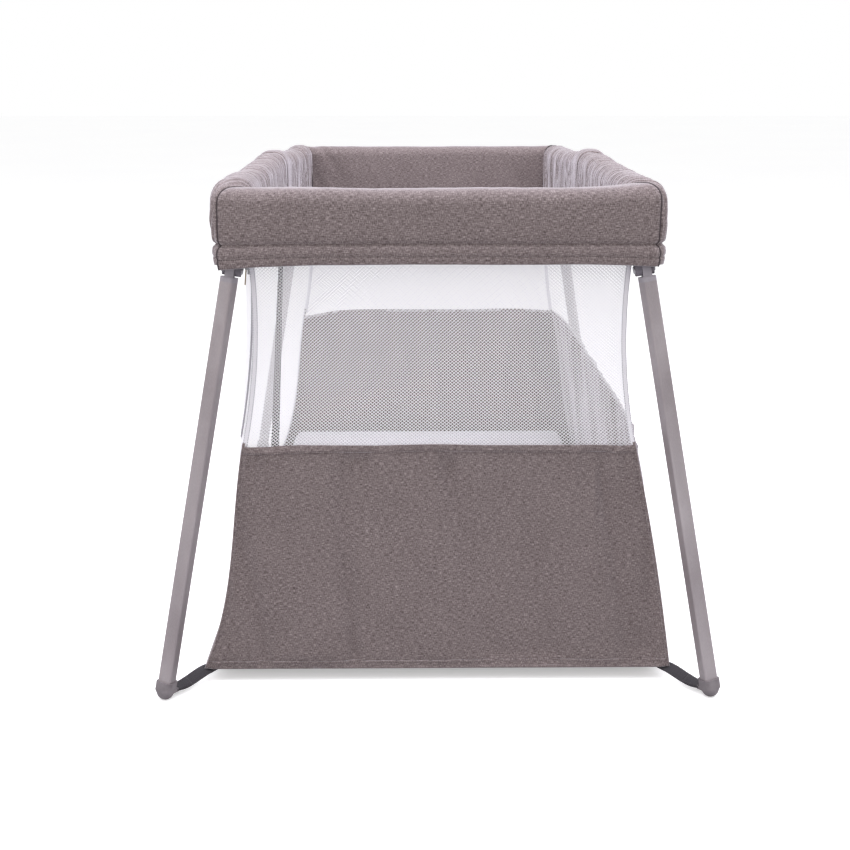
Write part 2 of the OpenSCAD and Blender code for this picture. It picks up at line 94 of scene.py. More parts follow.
COVER_LOW, COVER_HIGH = (np.array(c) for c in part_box("far_end_cover"))
CLOTH_LOW, CLOTH_HIGH = (np.array(c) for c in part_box("far_end_cloth"))
BAND_HIGH = np.array(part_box("far_right_cloth")[1])
MATTRESS_LOW, MATTRESS_HIGH = (np.array(c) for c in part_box("far_mattress"))
FLOOR_LOW, FLOOR_HIGH = (np.array(c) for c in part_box("far_floor"))
TAPE_LOW, TAPE_HIGH = (np.array(c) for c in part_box("zip_tape"))

HALF_W, HALF_L, TOP = COVER_HIGH
HEM = COVER_LOW[2]
COVER_T = COVER_HIGH[1] - COVER_LOW[1]
RAIL_X = HALF_W - COVER_T / 2
RAIL_Y = HALF_L - COVER_T / 2
BAND = CLOTH_HIGH[2]
FLOOR = CLOTH_LOW[2]
FLOOR_X = BAND_HIGH[0]
FLOOR_Y = CLOTH_HIGH[1]

WALL_IN = 5 * MM                       # the walls hang this far outside the covers' inner face
WALL_X = HALF_W - COVER_T + WALL_IN
WALL_Y = HALF_L - COVER_T + WALL_IN
SEAM_IN = 9 * MM                       # a corner seam is drawn in this far at mid netting
SEAM_OUT = 0.2                         # share of its way out to the floor made by the band's top
FLARE = 5 * MM                         # the walls' corners spread this far under the covers
FLARE_SPAN = 14 * MM                   # within this distance of the corner
FULLNESS = 6                           # power of a wall's curve from its corner seams
RIGHT_OUT = 4 * MM                     # a right corner seam stands out this far at mid cloth
LEFT_IN = 13 * MM                      # a left one is drawn in this far near its foot
LEFT_TOP_IN = 1 * MM                   # and this far under the cover
BELLY = 17 * MM                        # the left net hangs out this far behind its zip
BELLY_EDGE = 0.512                     # it starts this far from mid length
BELLY_RISE = 0.055                     # swells over this distance
BELLY_PLACE = 0.44                     # is fullest here
BELLY_SPAN = 0.24                      # and fades over this distance towards the middle
BELLY_SHORT = 1.7                      # it is gone at one part in this many of the drop


def drop(z):
    """How far down the wall z is, from 0 at the hem to 1 at the floor."""
    return (HEM - z) / (HEM - FLOOR)


def seam(z, top, low):
    """A corner seam: from the hem a bow, drawn in by SEAM_IN at its middle, to the
    cloth band, and from there a straight line to the corner of the floor."""
    t = np.clip((HEM - z) / (HEM - BAND), None, 1)
    out = SEAM_OUT * (low - top)
    bow = top + out * t - 4 * SEAM_IN * t * (1 - t)
    line = top + out + (low - top - out) * (BAND - z) / (BAND - FLOOR)
    return np.where(z >= BAND, bow, line)


def inner_seam_x(z):
    """Half width between the corner seams at z, without their spread."""
    return seam(z, WALL_X, FLOOR_X)


def spread(side, z):
    """How far a corner seam stands out beyond its plain line. On the right it is a
    little, under the cover and, as half a sine, below the band's top. On the left the
    seam is drawn in above the floor, where the light net gives way, by t * t * (1 - t)
    scaled to a peak of 1, so that it flares out at its foot."""
    t = np.clip((BAND - z) / (BAND - FLOOR), 0, 1)
    if side == RIGHT:
        return FLARE * (1 - drop(z)) + RIGHT_OUT * np.sin(math.pi * t)
    return -LEFT_TOP_IN * (1 - drop(z)) - LEFT_IN * 27 / 4 * t * t * (1 - t)


def seam_x(z, side=RIGHT):
    """Half width at a corner seam at z."""
    return inner_seam_x(z) + spread(side, z)


def seam_y(z):
    """Half length at a corner seam at z."""
    return seam(z, WALL_Y, FLOOR_Y)


def side_out(y, z, side=RIGHT):
    """Half width at y and z: the straight wall less a power of y / seam, so that the
    wall meets its corner seams and stands full between them. The right seam's spread
    fades away from the corner, and the whole left net follows its seams'. The left net
    also bellies out behind its zip, where it hangs loose: a cubic ease times a bell."""
    full = WALL_X + (FLOOR_X - WALL_X) * drop(z)
    inner = inner_seam_x(z)
    reach = np.abs(y)
    fade = np.exp(-((seam_y(z) - reach) / FLARE_SPAN) ** 2) if side == RIGHT else 1
    corner = spread(side, z) * fade
    start = np.clip((BELLY_EDGE - reach) / BELLY_RISE, 0, 1)
    belly = BELLY * start * start * (3 - 2 * start) * np.exp(-((BELLY_PLACE - reach) / BELLY_SPAN) ** 2)
    belly = belly * np.clip(1 - BELLY_SHORT * drop(z), 0, 1) * (side == LEFT)
    return inner + (full - inner) * (1 - np.clip(reach / seam_y(z), 0, 1) ** FULLNESS) + corner + belly


def end_out(x, z):
    """Half length at x and z, in the same way."""
    full = WALL_Y + (FLOOR_Y - WALL_Y) * drop(z)
    return seam_y(z) + (full - seam_y(z)) * (1 - np.clip(np.abs(x) / inner_seam_x(z), 0, 1) ** FULLNESS)


def end_x(share, z):
    """X at a share from -1 to 1 across an end wall, from its left seam to its right."""
    return np.where(share < 0, seam_x(z, LEFT), seam_x(z, RIGHT)) * share


# ------------------------------------------------------------ numbers and noise

def noise(u, v, seed):
    """Smooth noise from -1 to 1: random values on a unit lattice, blended between
    the four nearest with a cubic ease."""
    grid = np.random.default_rng(seed).uniform(-1, 1, (64, 64))
    u, v = np.broadcast_arrays(np.asarray(u, float), np.asarray(v, float))
    i, j = np.floor(u).astype(int), np.floor(v).astype(int)
    a, b = u - i, v - j
    a, b = a * a * (3 - 2 * a), b * b * (3 - 2 * b)
    corner = lambda p, q: grid[(i + p) % 64, (j + q) % 64]
    low = corner(0, 0) * (1 - a) + corner(1, 0) * a
    high = corner(0, 1) * (1 - a) + corner(1, 1) * a
    return low * (1 - b) + high * b


def bump(x, middle, width):
    """A bell of height 1 at middle."""
    return np.exp(-((x - middle) / width) ** 2)


def arc_length(points):
    """Distance along a line of points, from its first."""
    return np.concatenate([[0], np.cumsum(np.linalg.norm(np.diff(points, axis=0), axis=1))])


def resample(points, pitch):
    """The line of points, cut into equal steps of about pitch."""
    run = arc_length(points)
    at = np.linspace(0, run[-1], max(2, int(round(run[-1] / pitch)) + 1))
    return np.stack([np.interp(at, run, points[:, k]) for k in range(3)], axis=1)


def unit(v):
    """Vectors of length 1 along v."""
    return v / np.maximum(np.linalg.norm(v, axis=-1, keepdims=True), 1e-12)


# ------------------------------------------------------------ meshes

def mesh_piece(name, points, faces, uv=None, smooth=True):
    """A piece from points, faces and, where a pattern follows it, one UV per corner."""
    mesh = bpy.data.meshes.new(name)
    sizes = np.array([len(f) for f in faces]) if isinstance(faces, list) else None
    if sizes is None:
        corners = faces.reshape(-1)
        sizes = np.full(len(faces), faces.shape[1])
    else:
        corners = np.concatenate([np.asarray(f) for f in faces])
    mesh.vertices.add(len(points))
    mesh.vertices.foreach_set("co", np.ascontiguousarray(points, np.float32).reshape(-1))
    mesh.loops.add(len(corners))
    mesh.loops.foreach_set("vertex_index", corners.astype(np.int32))
    mesh.polygons.add(len(sizes))
    starts = np.concatenate([[0], np.cumsum(sizes)[:-1]])
    mesh.polygons.foreach_set("loop_start", starts.astype(np.int32))
    mesh.update(calc_edges=True)
    mesh.validate()
    if uv is not None:
        layer = mesh.uv_layers.new(name="cloth")
        layer.data.foreach_set("uv", uv[corners].astype(np.float32).reshape(-1))
    mesh.polygons.foreach_set("use_smooth", np.full(len(mesh.polygons), smooth))
    piece = bpy.data.objects.new(name, mesh)
    bpy.context.scene.collection.objects.link(piece)
    return piece


def grid_faces(rows, cols, around=False, first=0):
    """Quads of a grid of rows by cols points, numbered row by row from first. With
    around, the last column joins the first."""
    i, j = np.meshgrid(np.arange(rows - 1), np.arange(cols if around else cols - 1), indexing="ij")
    k = (j + 1) % cols
    return np.stack([i * cols + j, (i + 1) * cols + j, (i + 1) * cols + k, i * cols + k],
                    axis=-1).reshape(-1, 4) + first


def outward(piece):
    """Turns a closed piece's faces outwards."""
    mesh = piece.data
    points = np.empty(len(mesh.vertices) * 3)
    mesh.vertices.foreach_get("co", points)
    points = points.reshape(-1, 3)
    mesh.calc_loop_triangles()
    corners = np.empty(len(mesh.loop_triangles) * 3, int)
    mesh.loop_triangles.foreach_get("vertices", corners)
    a, b, c = (points[corners.reshape(-1, 3)[:, k]] for k in range(3))
    if (a * np.cross(b, c)).sum() < 0:
        mesh.flip_normals()
    return piece


def grid_piece(name, points, uv, around=False, caps=False):
    """A surface from a grid of points, rows by columns. With around it is a tube, and
    caps closes the tube's ends."""
    rows, cols = points.shape[:2]
    faces = grid_faces(rows, cols, around)
    flat = points.reshape(-1, 3)
    if caps:
        faces = list(faces) + [np.arange(cols), np.arange(cols)[::-1] + (rows - 1) * cols]
    piece = mesh_piece(name, flat, faces, uv.reshape(-1, 2))
    return outward(piece) if caps else piece


def swept(name, path, side, up, profile):
    """A closed profile of (side, up) offsets carried along a path, with capped ends."""
    points = path[:, None] + profile[None, :, :1] * side[:, None] + profile[None, :, 1:] * up[:, None]
    run = arc_length(path)
    girth = arc_length(np.c_[profile, np.zeros(len(profile))])
    uv = np.stack(np.broadcast_arrays(run[:, None], girth[None]), axis=-1)
    return grid_piece(name, points, uv, around=True, caps=True)


def flat_profile(width, thick, count=4):
    """A band's section: two flat faces with half-round edges, counter-clockwise."""
    r = thick / 2
    a = np.linspace(-90, 90, count + 1) * math.pi / 180
    right = np.stack([width / 2 - r + r * np.cos(a), r * np.sin(a)], axis=1)
    return np.concatenate([right, -right])


def round_profile(r, count=10):
    """A cord's section: count points round a circle."""
    a = np.arange(count) * 2 * math.pi / count
    return np.stack([r * np.cos(a), r * np.sin(a)], axis=1)


def constant(vector, count):
    """One vector, count times."""
    return np.tile(np.asarray(vector, float), (count, 1))


def solid(piece, thick, offset=0.0):
    """Gives a sheet its thickness."""
    wall = piece.modifiers.new("thickness", "SOLIDIFY")
    wall.thickness = thick
    wall.offset = offset
    wall.use_even_offset = True
    return piece


# ------------------------------------------------------------ how pieces follow the frame


def finish_on(piece, end, look, replaces=()):
    """Paints a piece, lets it ride on its half of the frame and hides the frame's parts that it stands for.
    """
    piece.data.materials.append(look)
    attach(piece, half_of(end))
    if replaces:
        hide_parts(*replaces)
    return piece


def slackens(piece):
    """Gives the piece its own copy of its mesh."""
    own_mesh(piece)
    return piece


# ------------------------------------------------------------ materials

def paint(code):
    """An sRGB hex colour as linear RGBA."""
    parts = [int(code[k:k + 2], 16) / 255 for k in (1, 3, 5)]
    return tuple(c / 12.92 if c <= 0.04045 else ((c + 0.055) / 1.055) ** 2.4 for c in parts) + (1.0,)


def add(tree, kind, inputs=None, **settings):
    """Adds a node with its settings and with its inputs' values or links."""
    made = tree.nodes.new(kind)
    for key, value in settings.items():
        setattr(made, key, value)
    for key, value in (inputs or {}).items():
        if isinstance(value, bpy.types.NodeSocket):
            tree.links.new(value, made.inputs[key])
        else:
            made.inputs[key].default_value = value
    return made


def ramp(tree, value, stops):
    """A colour ramp through (place, hex colour) stops."""
    made = add(tree, "ShaderNodeValToRGB", {"Fac": value})
    elements = made.color_ramp.elements
    for k, (place, code) in enumerate(stops):
        element = elements[k] if k < 2 else elements.new(place)
        element.position = place
        element.color = paint(code)
    return made.outputs["Color"]


def material(name, build):
    """A material whose surface is what build returns."""
    made = bpy.data.materials.new(name)
    made.use_nodes = True
    tree = made.node_tree
    tree.nodes.clear()
    surface = build(tree)
    add(tree, "ShaderNodeOutputMaterial", {"Surface": surface.outputs[0]})
    return made


def scaled(tree, source, across, along, deep=1.0):
    """Coordinates divided by real lengths in metres."""
    return add(tree, "ShaderNodeMapping", {"Vector": source, "Scale": (1 / across, 1 / along, 1 / deep)},
               vector_type="POINT").outputs["Vector"]


def chambray(name, dark, middle, pale, rough=0.92):
    """Heather chambray: a plain weave of yarns spun from dark and pale fibres, so that
    short dark and pale slubs run along both threads. The real thread is 0.4 mm, and is
    drawn 0.9 mm wide, with slubs 4 to 7 mm long. Its fuzz pales it at a glancing view."""
    def build(tree):
        uv = add(tree, "ShaderNodeUVMap", uv_map="cloth").outputs["UV"]
        thread = 0.9 * MM
        slubs = {"Scale": 1.0, "Detail": 1.0, "Distortion": 0.15}
        warp = add(tree, "ShaderNodeTexNoise", {"Vector": scaled(tree, uv, thread, 4 * MM), **slubs})
        weft = add(tree, "ShaderNodeTexNoise", {"Vector": scaled(tree, uv, 7 * MM, thread), **slubs})
        cloud = add(tree, "ShaderNodeTexNoise", {
            "Vector": scaled(tree, uv, 60 * MM, 60 * MM), "Scale": 1.0, "Detail": 3.0})
        both = add(tree, "ShaderNodeMath", {0: warp.outputs["Fac"], 1: weft.outputs["Fac"]}, operation="ADD")
        shade = add(tree, "ShaderNodeMath", {0: both.outputs[0], 1: 0.5}, operation="MULTIPLY")
        drift = add(tree, "ShaderNodeMath", {0: cloud.outputs["Fac"], 1: 0.05, 2: shade.outputs[0]},
                    operation="MULTIPLY_ADD")
        colour = ramp(tree, drift.outputs[0], [(0.34, dark), (0.70, pale), (0.52, middle)])
        crowns_a = add(tree, "ShaderNodeTexWave", {
            "Vector": scaled(tree, uv, thread * 6.28, 1.0), "Scale": 3.14, "Distortion": 0.6},
            bands_direction="X")
        crowns_b = add(tree, "ShaderNodeTexWave", {
            "Vector": scaled(tree, uv, 1.0, thread * 6.28), "Scale": 3.14, "Distortion": 0.6},
            bands_direction="Y")
        weave = add(tree, "ShaderNodeMath", {0: crowns_a.outputs["Fac"], 1: crowns_b.outputs["Fac"]},
                    operation="MULTIPLY")
        relief = add(tree, "ShaderNodeMath", {0: weave.outputs[0], 1: 0.4, 2: both.outputs[0]},
                     operation="MULTIPLY_ADD")
        normal = add(tree, "ShaderNodeBump", {"Height": relief.outputs[0], "Strength": 0.35,
                                              "Distance": 0.4 * MM})
        return add(tree, "ShaderNodeBsdfPrincipled", {
            "Base Color": colour, "Roughness": rough, "Specular IOR Level": 0.2,
            "Sheen Weight": 1.0, "Sheen Roughness": 0.42, "Sheen Tint": paint("#F6F2FA"),
            "Normal": normal.outputs["Normal"]})
    return material(name, build)


def knit(name, base, shade, loop=0.7 * MM, through=0.3):
    """Knitted or twisted polyester yarn: matt, with fine loops along the cloth. A share
    of the light, through, shines through it."""
    def build(tree):
        uv = add(tree, "ShaderNodeUVMap", uv_map="cloth").outputs["UV"]
        loops = add(tree, "ShaderNodeTexNoise", {
            "Vector": scaled(tree, uv, loop, 3 * loop), "Scale": 1.0, "Detail": 1.0})
        colour = ramp(tree, loops.outputs["Fac"], [(0.3, shade), (0.65, base)])
        normal = add(tree, "ShaderNodeBump", {"Height": loops.outputs["Fac"], "Strength": 0.3,
                                              "Distance": 0.2 * MM})
        front = add(tree, "ShaderNodeBsdfPrincipled", {
            "Base Color": colour, "Roughness": 0.75, "Specular IOR Level": 0.3,
            "Sheen Weight": 0.2, "Normal": normal.outputs["Normal"]})
        if not through:
            return front
        back = add(tree, "ShaderNodeBsdfTranslucent", {"Color": colour})
        return add(tree, "ShaderNodeMixShader", {0: through, 1: front.outputs[0], 2: back.outputs[0]})
    return material(name, build)


def webbing(name, dark, pale, rib=1.6 * MM):
    """Woven polypropylene webbing: ribs across its length, with a faint twill."""
    def build(tree):
        uv = add(tree, "ShaderNodeUVMap", uv_map="cloth").outputs["UV"]
        ribs = add(tree, "ShaderNodeTexWave", {
            "Vector": scaled(tree, uv, rib * 6.28, 12 * MM), "Scale": 3.14, "Distortion": 0.8,
            "Detail": 1.0}, bands_direction="X")
        fibre = add(tree, "ShaderNodeTexNoise", {
            "Vector": scaled(tree, uv, 0.8 * MM, 0.8 * MM), "Scale": 1.0, "Detail": 2.0})
        blend = add(tree, "ShaderNodeMath", {0: ribs.outputs["Fac"], 1: fibre.outputs["Fac"]},
                    operation="MULTIPLY")
        colour = ramp(tree, blend.outputs[0], [(0.0, dark), (0.75, pale)])
        normal = add(tree, "ShaderNodeBump", {"Height": blend.outputs[0], "Strength": 0.5,
                                              "Distance": 0.3 * MM})
        return add(tree, "ShaderNodeBsdfPrincipled", {
            "Base Color": colour, "Roughness": 0.7, "Specular IOR Level": 0.35,
            "Sheen Weight": 0.15, "Normal": normal.outputs["Normal"]})
    return material(name, build)


def ticking(name):
    """Pale knitted polyester ticking: matt, with soft round loops 2 mm apart."""
    def build(tree):
        uv = add(tree, "ShaderNodeUVMap", uv_map="cloth").outputs["UV"]
        loops = add(tree, "ShaderNodeTexVoronoi", {"Vector": scaled(tree, uv, 2 * MM, 2 * MM), "Scale": 1.0})
        colour = ramp(tree, loops.outputs["Distance"], [(0.1, "#CFCDD1"), (0.8, "#B6B4B9")])
        normal = add(tree, "ShaderNodeBump", {"Height": loops.outputs["Distance"], "Strength": 0.3,
                                              "Distance": 0.4 * MM}, invert=True)
        return add(tree, "ShaderNodeBsdfPrincipled", {
            "Base Color": colour, "Roughness": 0.9, "Specular IOR Level": 0.2,
            "Sheen Weight": 0.3, "Normal": normal.outputs["Normal"]})
    return material(name, build)


def moulded(name, dark, pale, rough, grain=0.9 * MM):
    """Moulded nylon or ABS with a spark-eroded grain; its tone and gloss drift in soft patches."""
    def build(tree):
        place = add(tree, "ShaderNodeTexCoord").outputs["Object"]
        pits = add(tree, "ShaderNodeTexNoise", {
            "Vector": scaled(tree, place, grain, grain, grain), "Scale": 1.0, "Detail": 2.0})
        cloud = add(tree, "ShaderNodeTexNoise", {
            "Vector": scaled(tree, place, 25 * MM, 25 * MM, 25 * MM), "Scale": 1.0, "Detail": 4.0})
        colour = ramp(tree, cloud.outputs["Fac"], [(0.35, dark), (0.7, pale)])
        gloss = add(tree, "ShaderNodeMapRange", {"Value": cloud.outputs["Fac"], "To Min": rough - 0.08,
                                                 "To Max": rough + 0.12})
        normal = add(tree, "ShaderNodeBump", {"Height": pits.outputs["Fac"], "Strength": 0.25,
                                              "Distance": 0.15 * MM})
        return add(tree, "ShaderNodeBsdfPrincipled", {
            "Base Color": colour, "Roughness": gloss.outputs["Result"], "IOR": 1.5,
            "Normal": normal.outputs["Normal"]})
    return material(name, build)


def metal(name, dark, pale, rough, line=0.5 * MM, length=60 * MM):
    """Drawn and anodised, or plated, metal: fine lines along the length, with soft
    changes of tone."""
    def build(tree):
        place = add(tree, "ShaderNodeTexCoord").outputs["Object"]
        lines = add(tree, "ShaderNodeTexNoise", {
            "Vector": scaled(tree, place, line, line, length), "Scale": 1.0, "Detail": 2.0})
        cloud = add(tree, "ShaderNodeTexNoise", {
            "Vector": scaled(tree, place, 80 * MM, 80 * MM, 160 * MM), "Scale": 1.0, "Detail": 3.0})
        tone = add(tree, "ShaderNodeMath", {0: lines.outputs["Fac"], 1: 0.35, 2: cloud.outputs["Fac"]},
                   operation="MULTIPLY_ADD")
        colour = ramp(tree, tone.outputs[0], [(0.45, dark), (0.95, pale)])
        gloss = add(tree, "ShaderNodeMapRange", {"Value": lines.outputs["Fac"], "To Min": rough - 0.06,
                                                 "To Max": rough + 0.08})
        normal = add(tree, "ShaderNodeBump", {"Height": lines.outputs["Fac"], "Strength": 0.08,
                                              "Distance": 0.05 * MM})
        return add(tree, "ShaderNodeBsdfPrincipled", {
            "Base Color": colour, "Metallic": 0.55, "Roughness": gloss.outputs["Result"],
            "Normal": normal.outputs["Normal"]})
    return material(name, build)


CHAMBRAY = chambray("heather_chambray", "#483E3D", "#736867", "#A19695")
LINING = chambray("coated_chambray", "#4A4344", "#5E5657", "#7B7273")
NET = knit("white_warp_knit_net", "#FAFAFB", "#F1F1F4")
BINDING = knit("pale_grey_binding_tape", "#F3F2F6", "#DBDAE0", through=0)
DOOR_TAPE = webbing("charcoal_door_tape", "#2F2D30", "#5B585C")
STRAP = webbing("charcoal_webbing", "#232125", "#4E4B50")
TICKING = ticking("pale_knitted_ticking")
THREAD = knit("dark_sewing_thread", "#4A4143", "#3A3335", through=0)
GREY_THREAD = knit("grey_sewing_thread", "#86848A", "#6F6D73", through=0)
TEETH = moulded("nylon_zip_teeth", "#77757A", "#A4A2A8", 0.4)
ZIP_TAPE = knit("woven_zip_tape", "#D4D3D8", "#B7B6BC")
CORD = knit("cream_braided_cord", "#D8C9AE", "#B7A584")
TUBE = metal("satin_anodised_aluminium", "#8F8789", "#B5AEB0", 0.48)
STEEL = metal("zinc_plated_steel", "#8E8E90", "#C9C9CB", 0.3)
DARK_NYLON = moulded("grey_moulded_nylon", "#5B575C", "#77727A", 0.5)
GREY_NYLON = moulded("pale_grey_moulded_nylon", "#8F8A90", "#ABA6AC", 0.5)
FOOT_NYLON = moulded("mid_grey_moulded_foot", "#6C6669", "#868083", 0.52)

CAD_LOOKS = {
    "rail_tube": TUBE, "leg_tube": TUBE, "bracket_plastic": DARK_NYLON,
    "knuckle_plastic": GREY_NYLON, "foot_plastic": FOOT_NYLON, "button_plastic": DARK_NYLON,
    "pin_steel": STEEL, "zip_metal": STEEL, "zip_cord": CORD,
}


def paint_frame():
    """Gives each CAD node that stays in view the finish of its material slot."""
    for part in frame["record"]["subparts"]:
        look = CAD_LOOKS.get(part["material_slot"])
        if look is None:
            continue
        piece = frame["nodes"][part["node"]]
        piece.data.materials.clear()
        piece.data.materials.append(look)


# ------------------------------------------------------------ stitches

STITCH_PITCH = 3.4 * MM
STITCH_LONG = 2.5 * MM
STITCH_WIDE = 0.9 * MM


def stitch_row(name, path, normals, end, look, squashes, pitch=STITCH_PITCH):
    """A row of thread stitches along a path: each is a small eight-sided bead, pointed
    at both ends, that lies in the cloth's surface."""
    run = arc_length(path)
    count = max(2, int(run[-1] / pitch))
    at = (np.arange(count) + 0.5) * run[-1] / count
    place = np.stack([np.interp(at, run, path[:, k]) for k in range(3)], axis=1)
    normal = unit(np.stack([np.interp(at, run, normals[:, k]) for k in range(3)], axis=1))
    ahead = np.stack([np.interp(at + 0.2 * MM, run, path[:, k]) for k in range(3)], axis=1)
    behind = np.stack([np.interp(at - 0.2 * MM, run, path[:, k]) for k in range(3)], axis=1)
    along = unit(ahead - behind)
    across = unit(np.cross(normal, along))
    length = STITCH_LONG / STITCH_PITCH * pitch
    offsets = [-length / 2 * along, -STITCH_WIDE * across / 2 - 0.12 * length * along,
               0.45 * STITCH_WIDE * normal, STITCH_WIDE * across / 2 - 0.12 * length * along,
               -0.45 * STITCH_WIDE * normal, length / 2 * along]
    points = np.stack([place + o for o in offsets], axis=1).reshape(-1, 3)
    bead = np.array([[0, 2, 1], [0, 3, 2], [0, 4, 3], [0, 1, 4], [5, 1, 2], [5, 2, 3], [5, 3, 4], [5, 4, 1]])
    faces = (bead[None] + 6 * np.arange(count)[:, None, None]).reshape(-1, 3)
    piece = mesh_piece(name, points, faces, uv=points[:, :2])
    outward(piece)
    finish_on(piece, end, look)
    return slackens(piece) if squashes else piece


# ------------------------------------------------------------ padded covers

ROUND_TOP = 19 * MM          # radius over the padded rail
HEM_DROP = 4.0 * MM          # the cover's hem hangs below the frame's skirt
QUILT_T = 4 * MM             # thickness of the quilted cloth
CHANNEL = 27 * MM            # from the hem to the seam of its channel
HEM_STITCH = 11 * MM         # from the hem to its stitching
CORNER_OUT = 14 * MM         # plan radius of the covers' outer corner
CORNER_IN = 5 * MM           # and of their inner corner
CORNER_SEAM = 0.62           # where round the corner, from side to end, the seam lies
COVER_START = 12 * MM        # from mid length to the end of a side cover
COVER_DEPTH = TOP - HEM + HEM_DROP


def cover_section():
    """The quilted cloth's section over the rail, from the outer hem over the top to
    the inner hem: its offset outwards from the rail, its height, its normal and the
    length along it."""
    half = COVER_T / 2
    low = HEM - HEM_DROP
    shoulder = TOP - ROUND_TOP
    close = np.arange(low, low + 32 * MM, 1.8 * MM)
    rise = np.linspace(low + 34 * MM, shoulder, 14)
    up = np.concatenate([close, rise])
    turn = np.linspace(0, 90, 9)[1:] * math.pi / 180
    centre = half - ROUND_TOP
    outer = [np.stack([np.full_like(up, half), up], 1),
             np.stack([centre + ROUND_TOP * np.cos(turn), shoulder + ROUND_TOP * np.sin(turn)], 1)]
    crown = np.stack([np.zeros(1), np.full(1, TOP)], 1)
    right = np.concatenate(outer)
    left = right[::-1] * [-1, 1]
    line = np.concatenate([right, crown, left])
    tangent = unit(np.gradient(line, axis=0))
    normal = np.stack([tangent[:, 1], -tangent[:, 0]], axis=1)
    run = arc_length(np.c_[line, np.zeros(len(line))])
    return line[:, 0], line[:, 1], normal, run


def around_corner(s, offset):
    """Plan of the cover's quarter at +X +Y. Offset is the distance outwards from the
    rail. From s = 0 to 1 it runs along the side, from 1 to 2 round the corner's arc,
    whose radius grows from the inner corner's to the outer one's, and from 2 to 3
    along the end to its middle."""
    share = np.clip(offset / COVER_T + 0.5, 0, 1)
    radius = CORNER_IN + (CORNER_OUT - CORNER_IN) * share
    a = RAIL_X + offset
    b = RAIL_Y + offset
    turn = np.clip(s - 1, 0, 1) * math.pi / 2
    x = a - radius + radius * np.cos(turn)
    y = b - radius + radius * np.sin(turn)
    y = np.where(s < 1, COVER_START + (y - COVER_START) * np.clip(s, 0, 1), y)
    x = np.where(s > 2, (a - radius) * (3 - s), x)
    return x, y


def folds(u, v, pitch, seed):
    """Gathers across a run u, from 0 on their crests to -1 in their creases: a sharp
    rectified sine whose phase wanders, so that creases fork and slant."""
    phase = u / pitch + 1.1 * noise(u / 0.05, v / 0.07, seed) + 0.5 * noise(u / 0.02, v / 0.04, seed + 1)
    phase = phase + v * 4.0
    ridge = np.abs(np.sin(math.pi * phase)) ** 0.6 - 1
    depth = 0.55 + 0.45 * noise(u / 0.03, v / 0.05, seed + 2)
    return ridge * np.clip(depth, 0.12, 1)


def padding(height_above_hem, inner):
    """How the cloth swells and pinches above its hem: out between hem and channel
    seam, in at that seam and at the hem stitching, and softly full above."""
    h = height_above_hem
    swell = 1.8 * MM * np.sin(math.pi * np.clip(h / CHANNEL, 0, 1))
    pinch = -3.6 * MM * bump(h, CHANNEL, 2.6 * MM) - 1.3 * MM * bump(h, HEM_STITCH, 1.8 * MM)
    full = 1.4 * MM * np.sin(math.pi * np.clip((h - CHANNEL) / (60 * MM), 0, 1))
    return np.where(inner, 0.4 * full, swell + pinch + full)


def cover_piece(s, u, push, droop, lift, side, end):
    """A length of padded cover, as a grid of points, its UVs and the number of points
    in its outer face. s are the places round the quarter, u the run along the cloth in
    metres, push the cloth's displacement along its normal, droop how far the hem hangs
    and lift how far the top stands up at each place. The lining follows inside."""
    offset, height, normal, run = cover_section()
    count = len(offset)
    inner = np.arange(count) > count // 2
    low = HEM - HEM_DROP
    above = (height - low)[None]
    swell = padding(above, inner[None]) + push(u[:, None], run[None], above, inner[None])
    hang = droop(u)[:, None] * np.clip(1 - above / (45 * MM), 0, 1) ** 1.5
    out = offset[None] + swell * normal[None, :, 0]
    upper = np.clip((above - CHANNEL) / (COVER_DEPTH - CHANNEL), 0, 1)
    z = height[None] + swell * normal[None, :, 1] - hang + lift[:, None] * upper * upper * (3 - 2 * upper)
    lining = np.arange(count - 1, -1, -3)
    out_in = (out - QUILT_T * normal[None, :, 0])[:, lining]
    z_in = (z - QUILT_T * normal[None, :, 1])[:, lining]
    out = np.concatenate([out, out_in], axis=1)
    z = np.concatenate([z, z_in], axis=1)
    x, y = around_corner(s[:, None], out)
    points = np.stack([x * side, y * end, z], axis=-1)
    length = np.concatenate([run, run[lining]])
    uv = np.stack(np.broadcast_arrays(u[:, None], length[None]), axis=-1)
    return points, uv, count


def ride_up(y, side):
    """How far the gathered cloth of a side stands above its rail: most over the middle
    hinge, and more towards the near end than the far one."""
    far = np.clip((y + 0.45) / 0.95, 0, 1)
    slope = 9.5 * MM * (1 - far * far * (3 - 2 * far))
    return slope + 11 * MM * np.exp(-((y + 0.03) / 0.17) ** 2) + 1.2 * MM * noise(y / 0.05, side, 7)


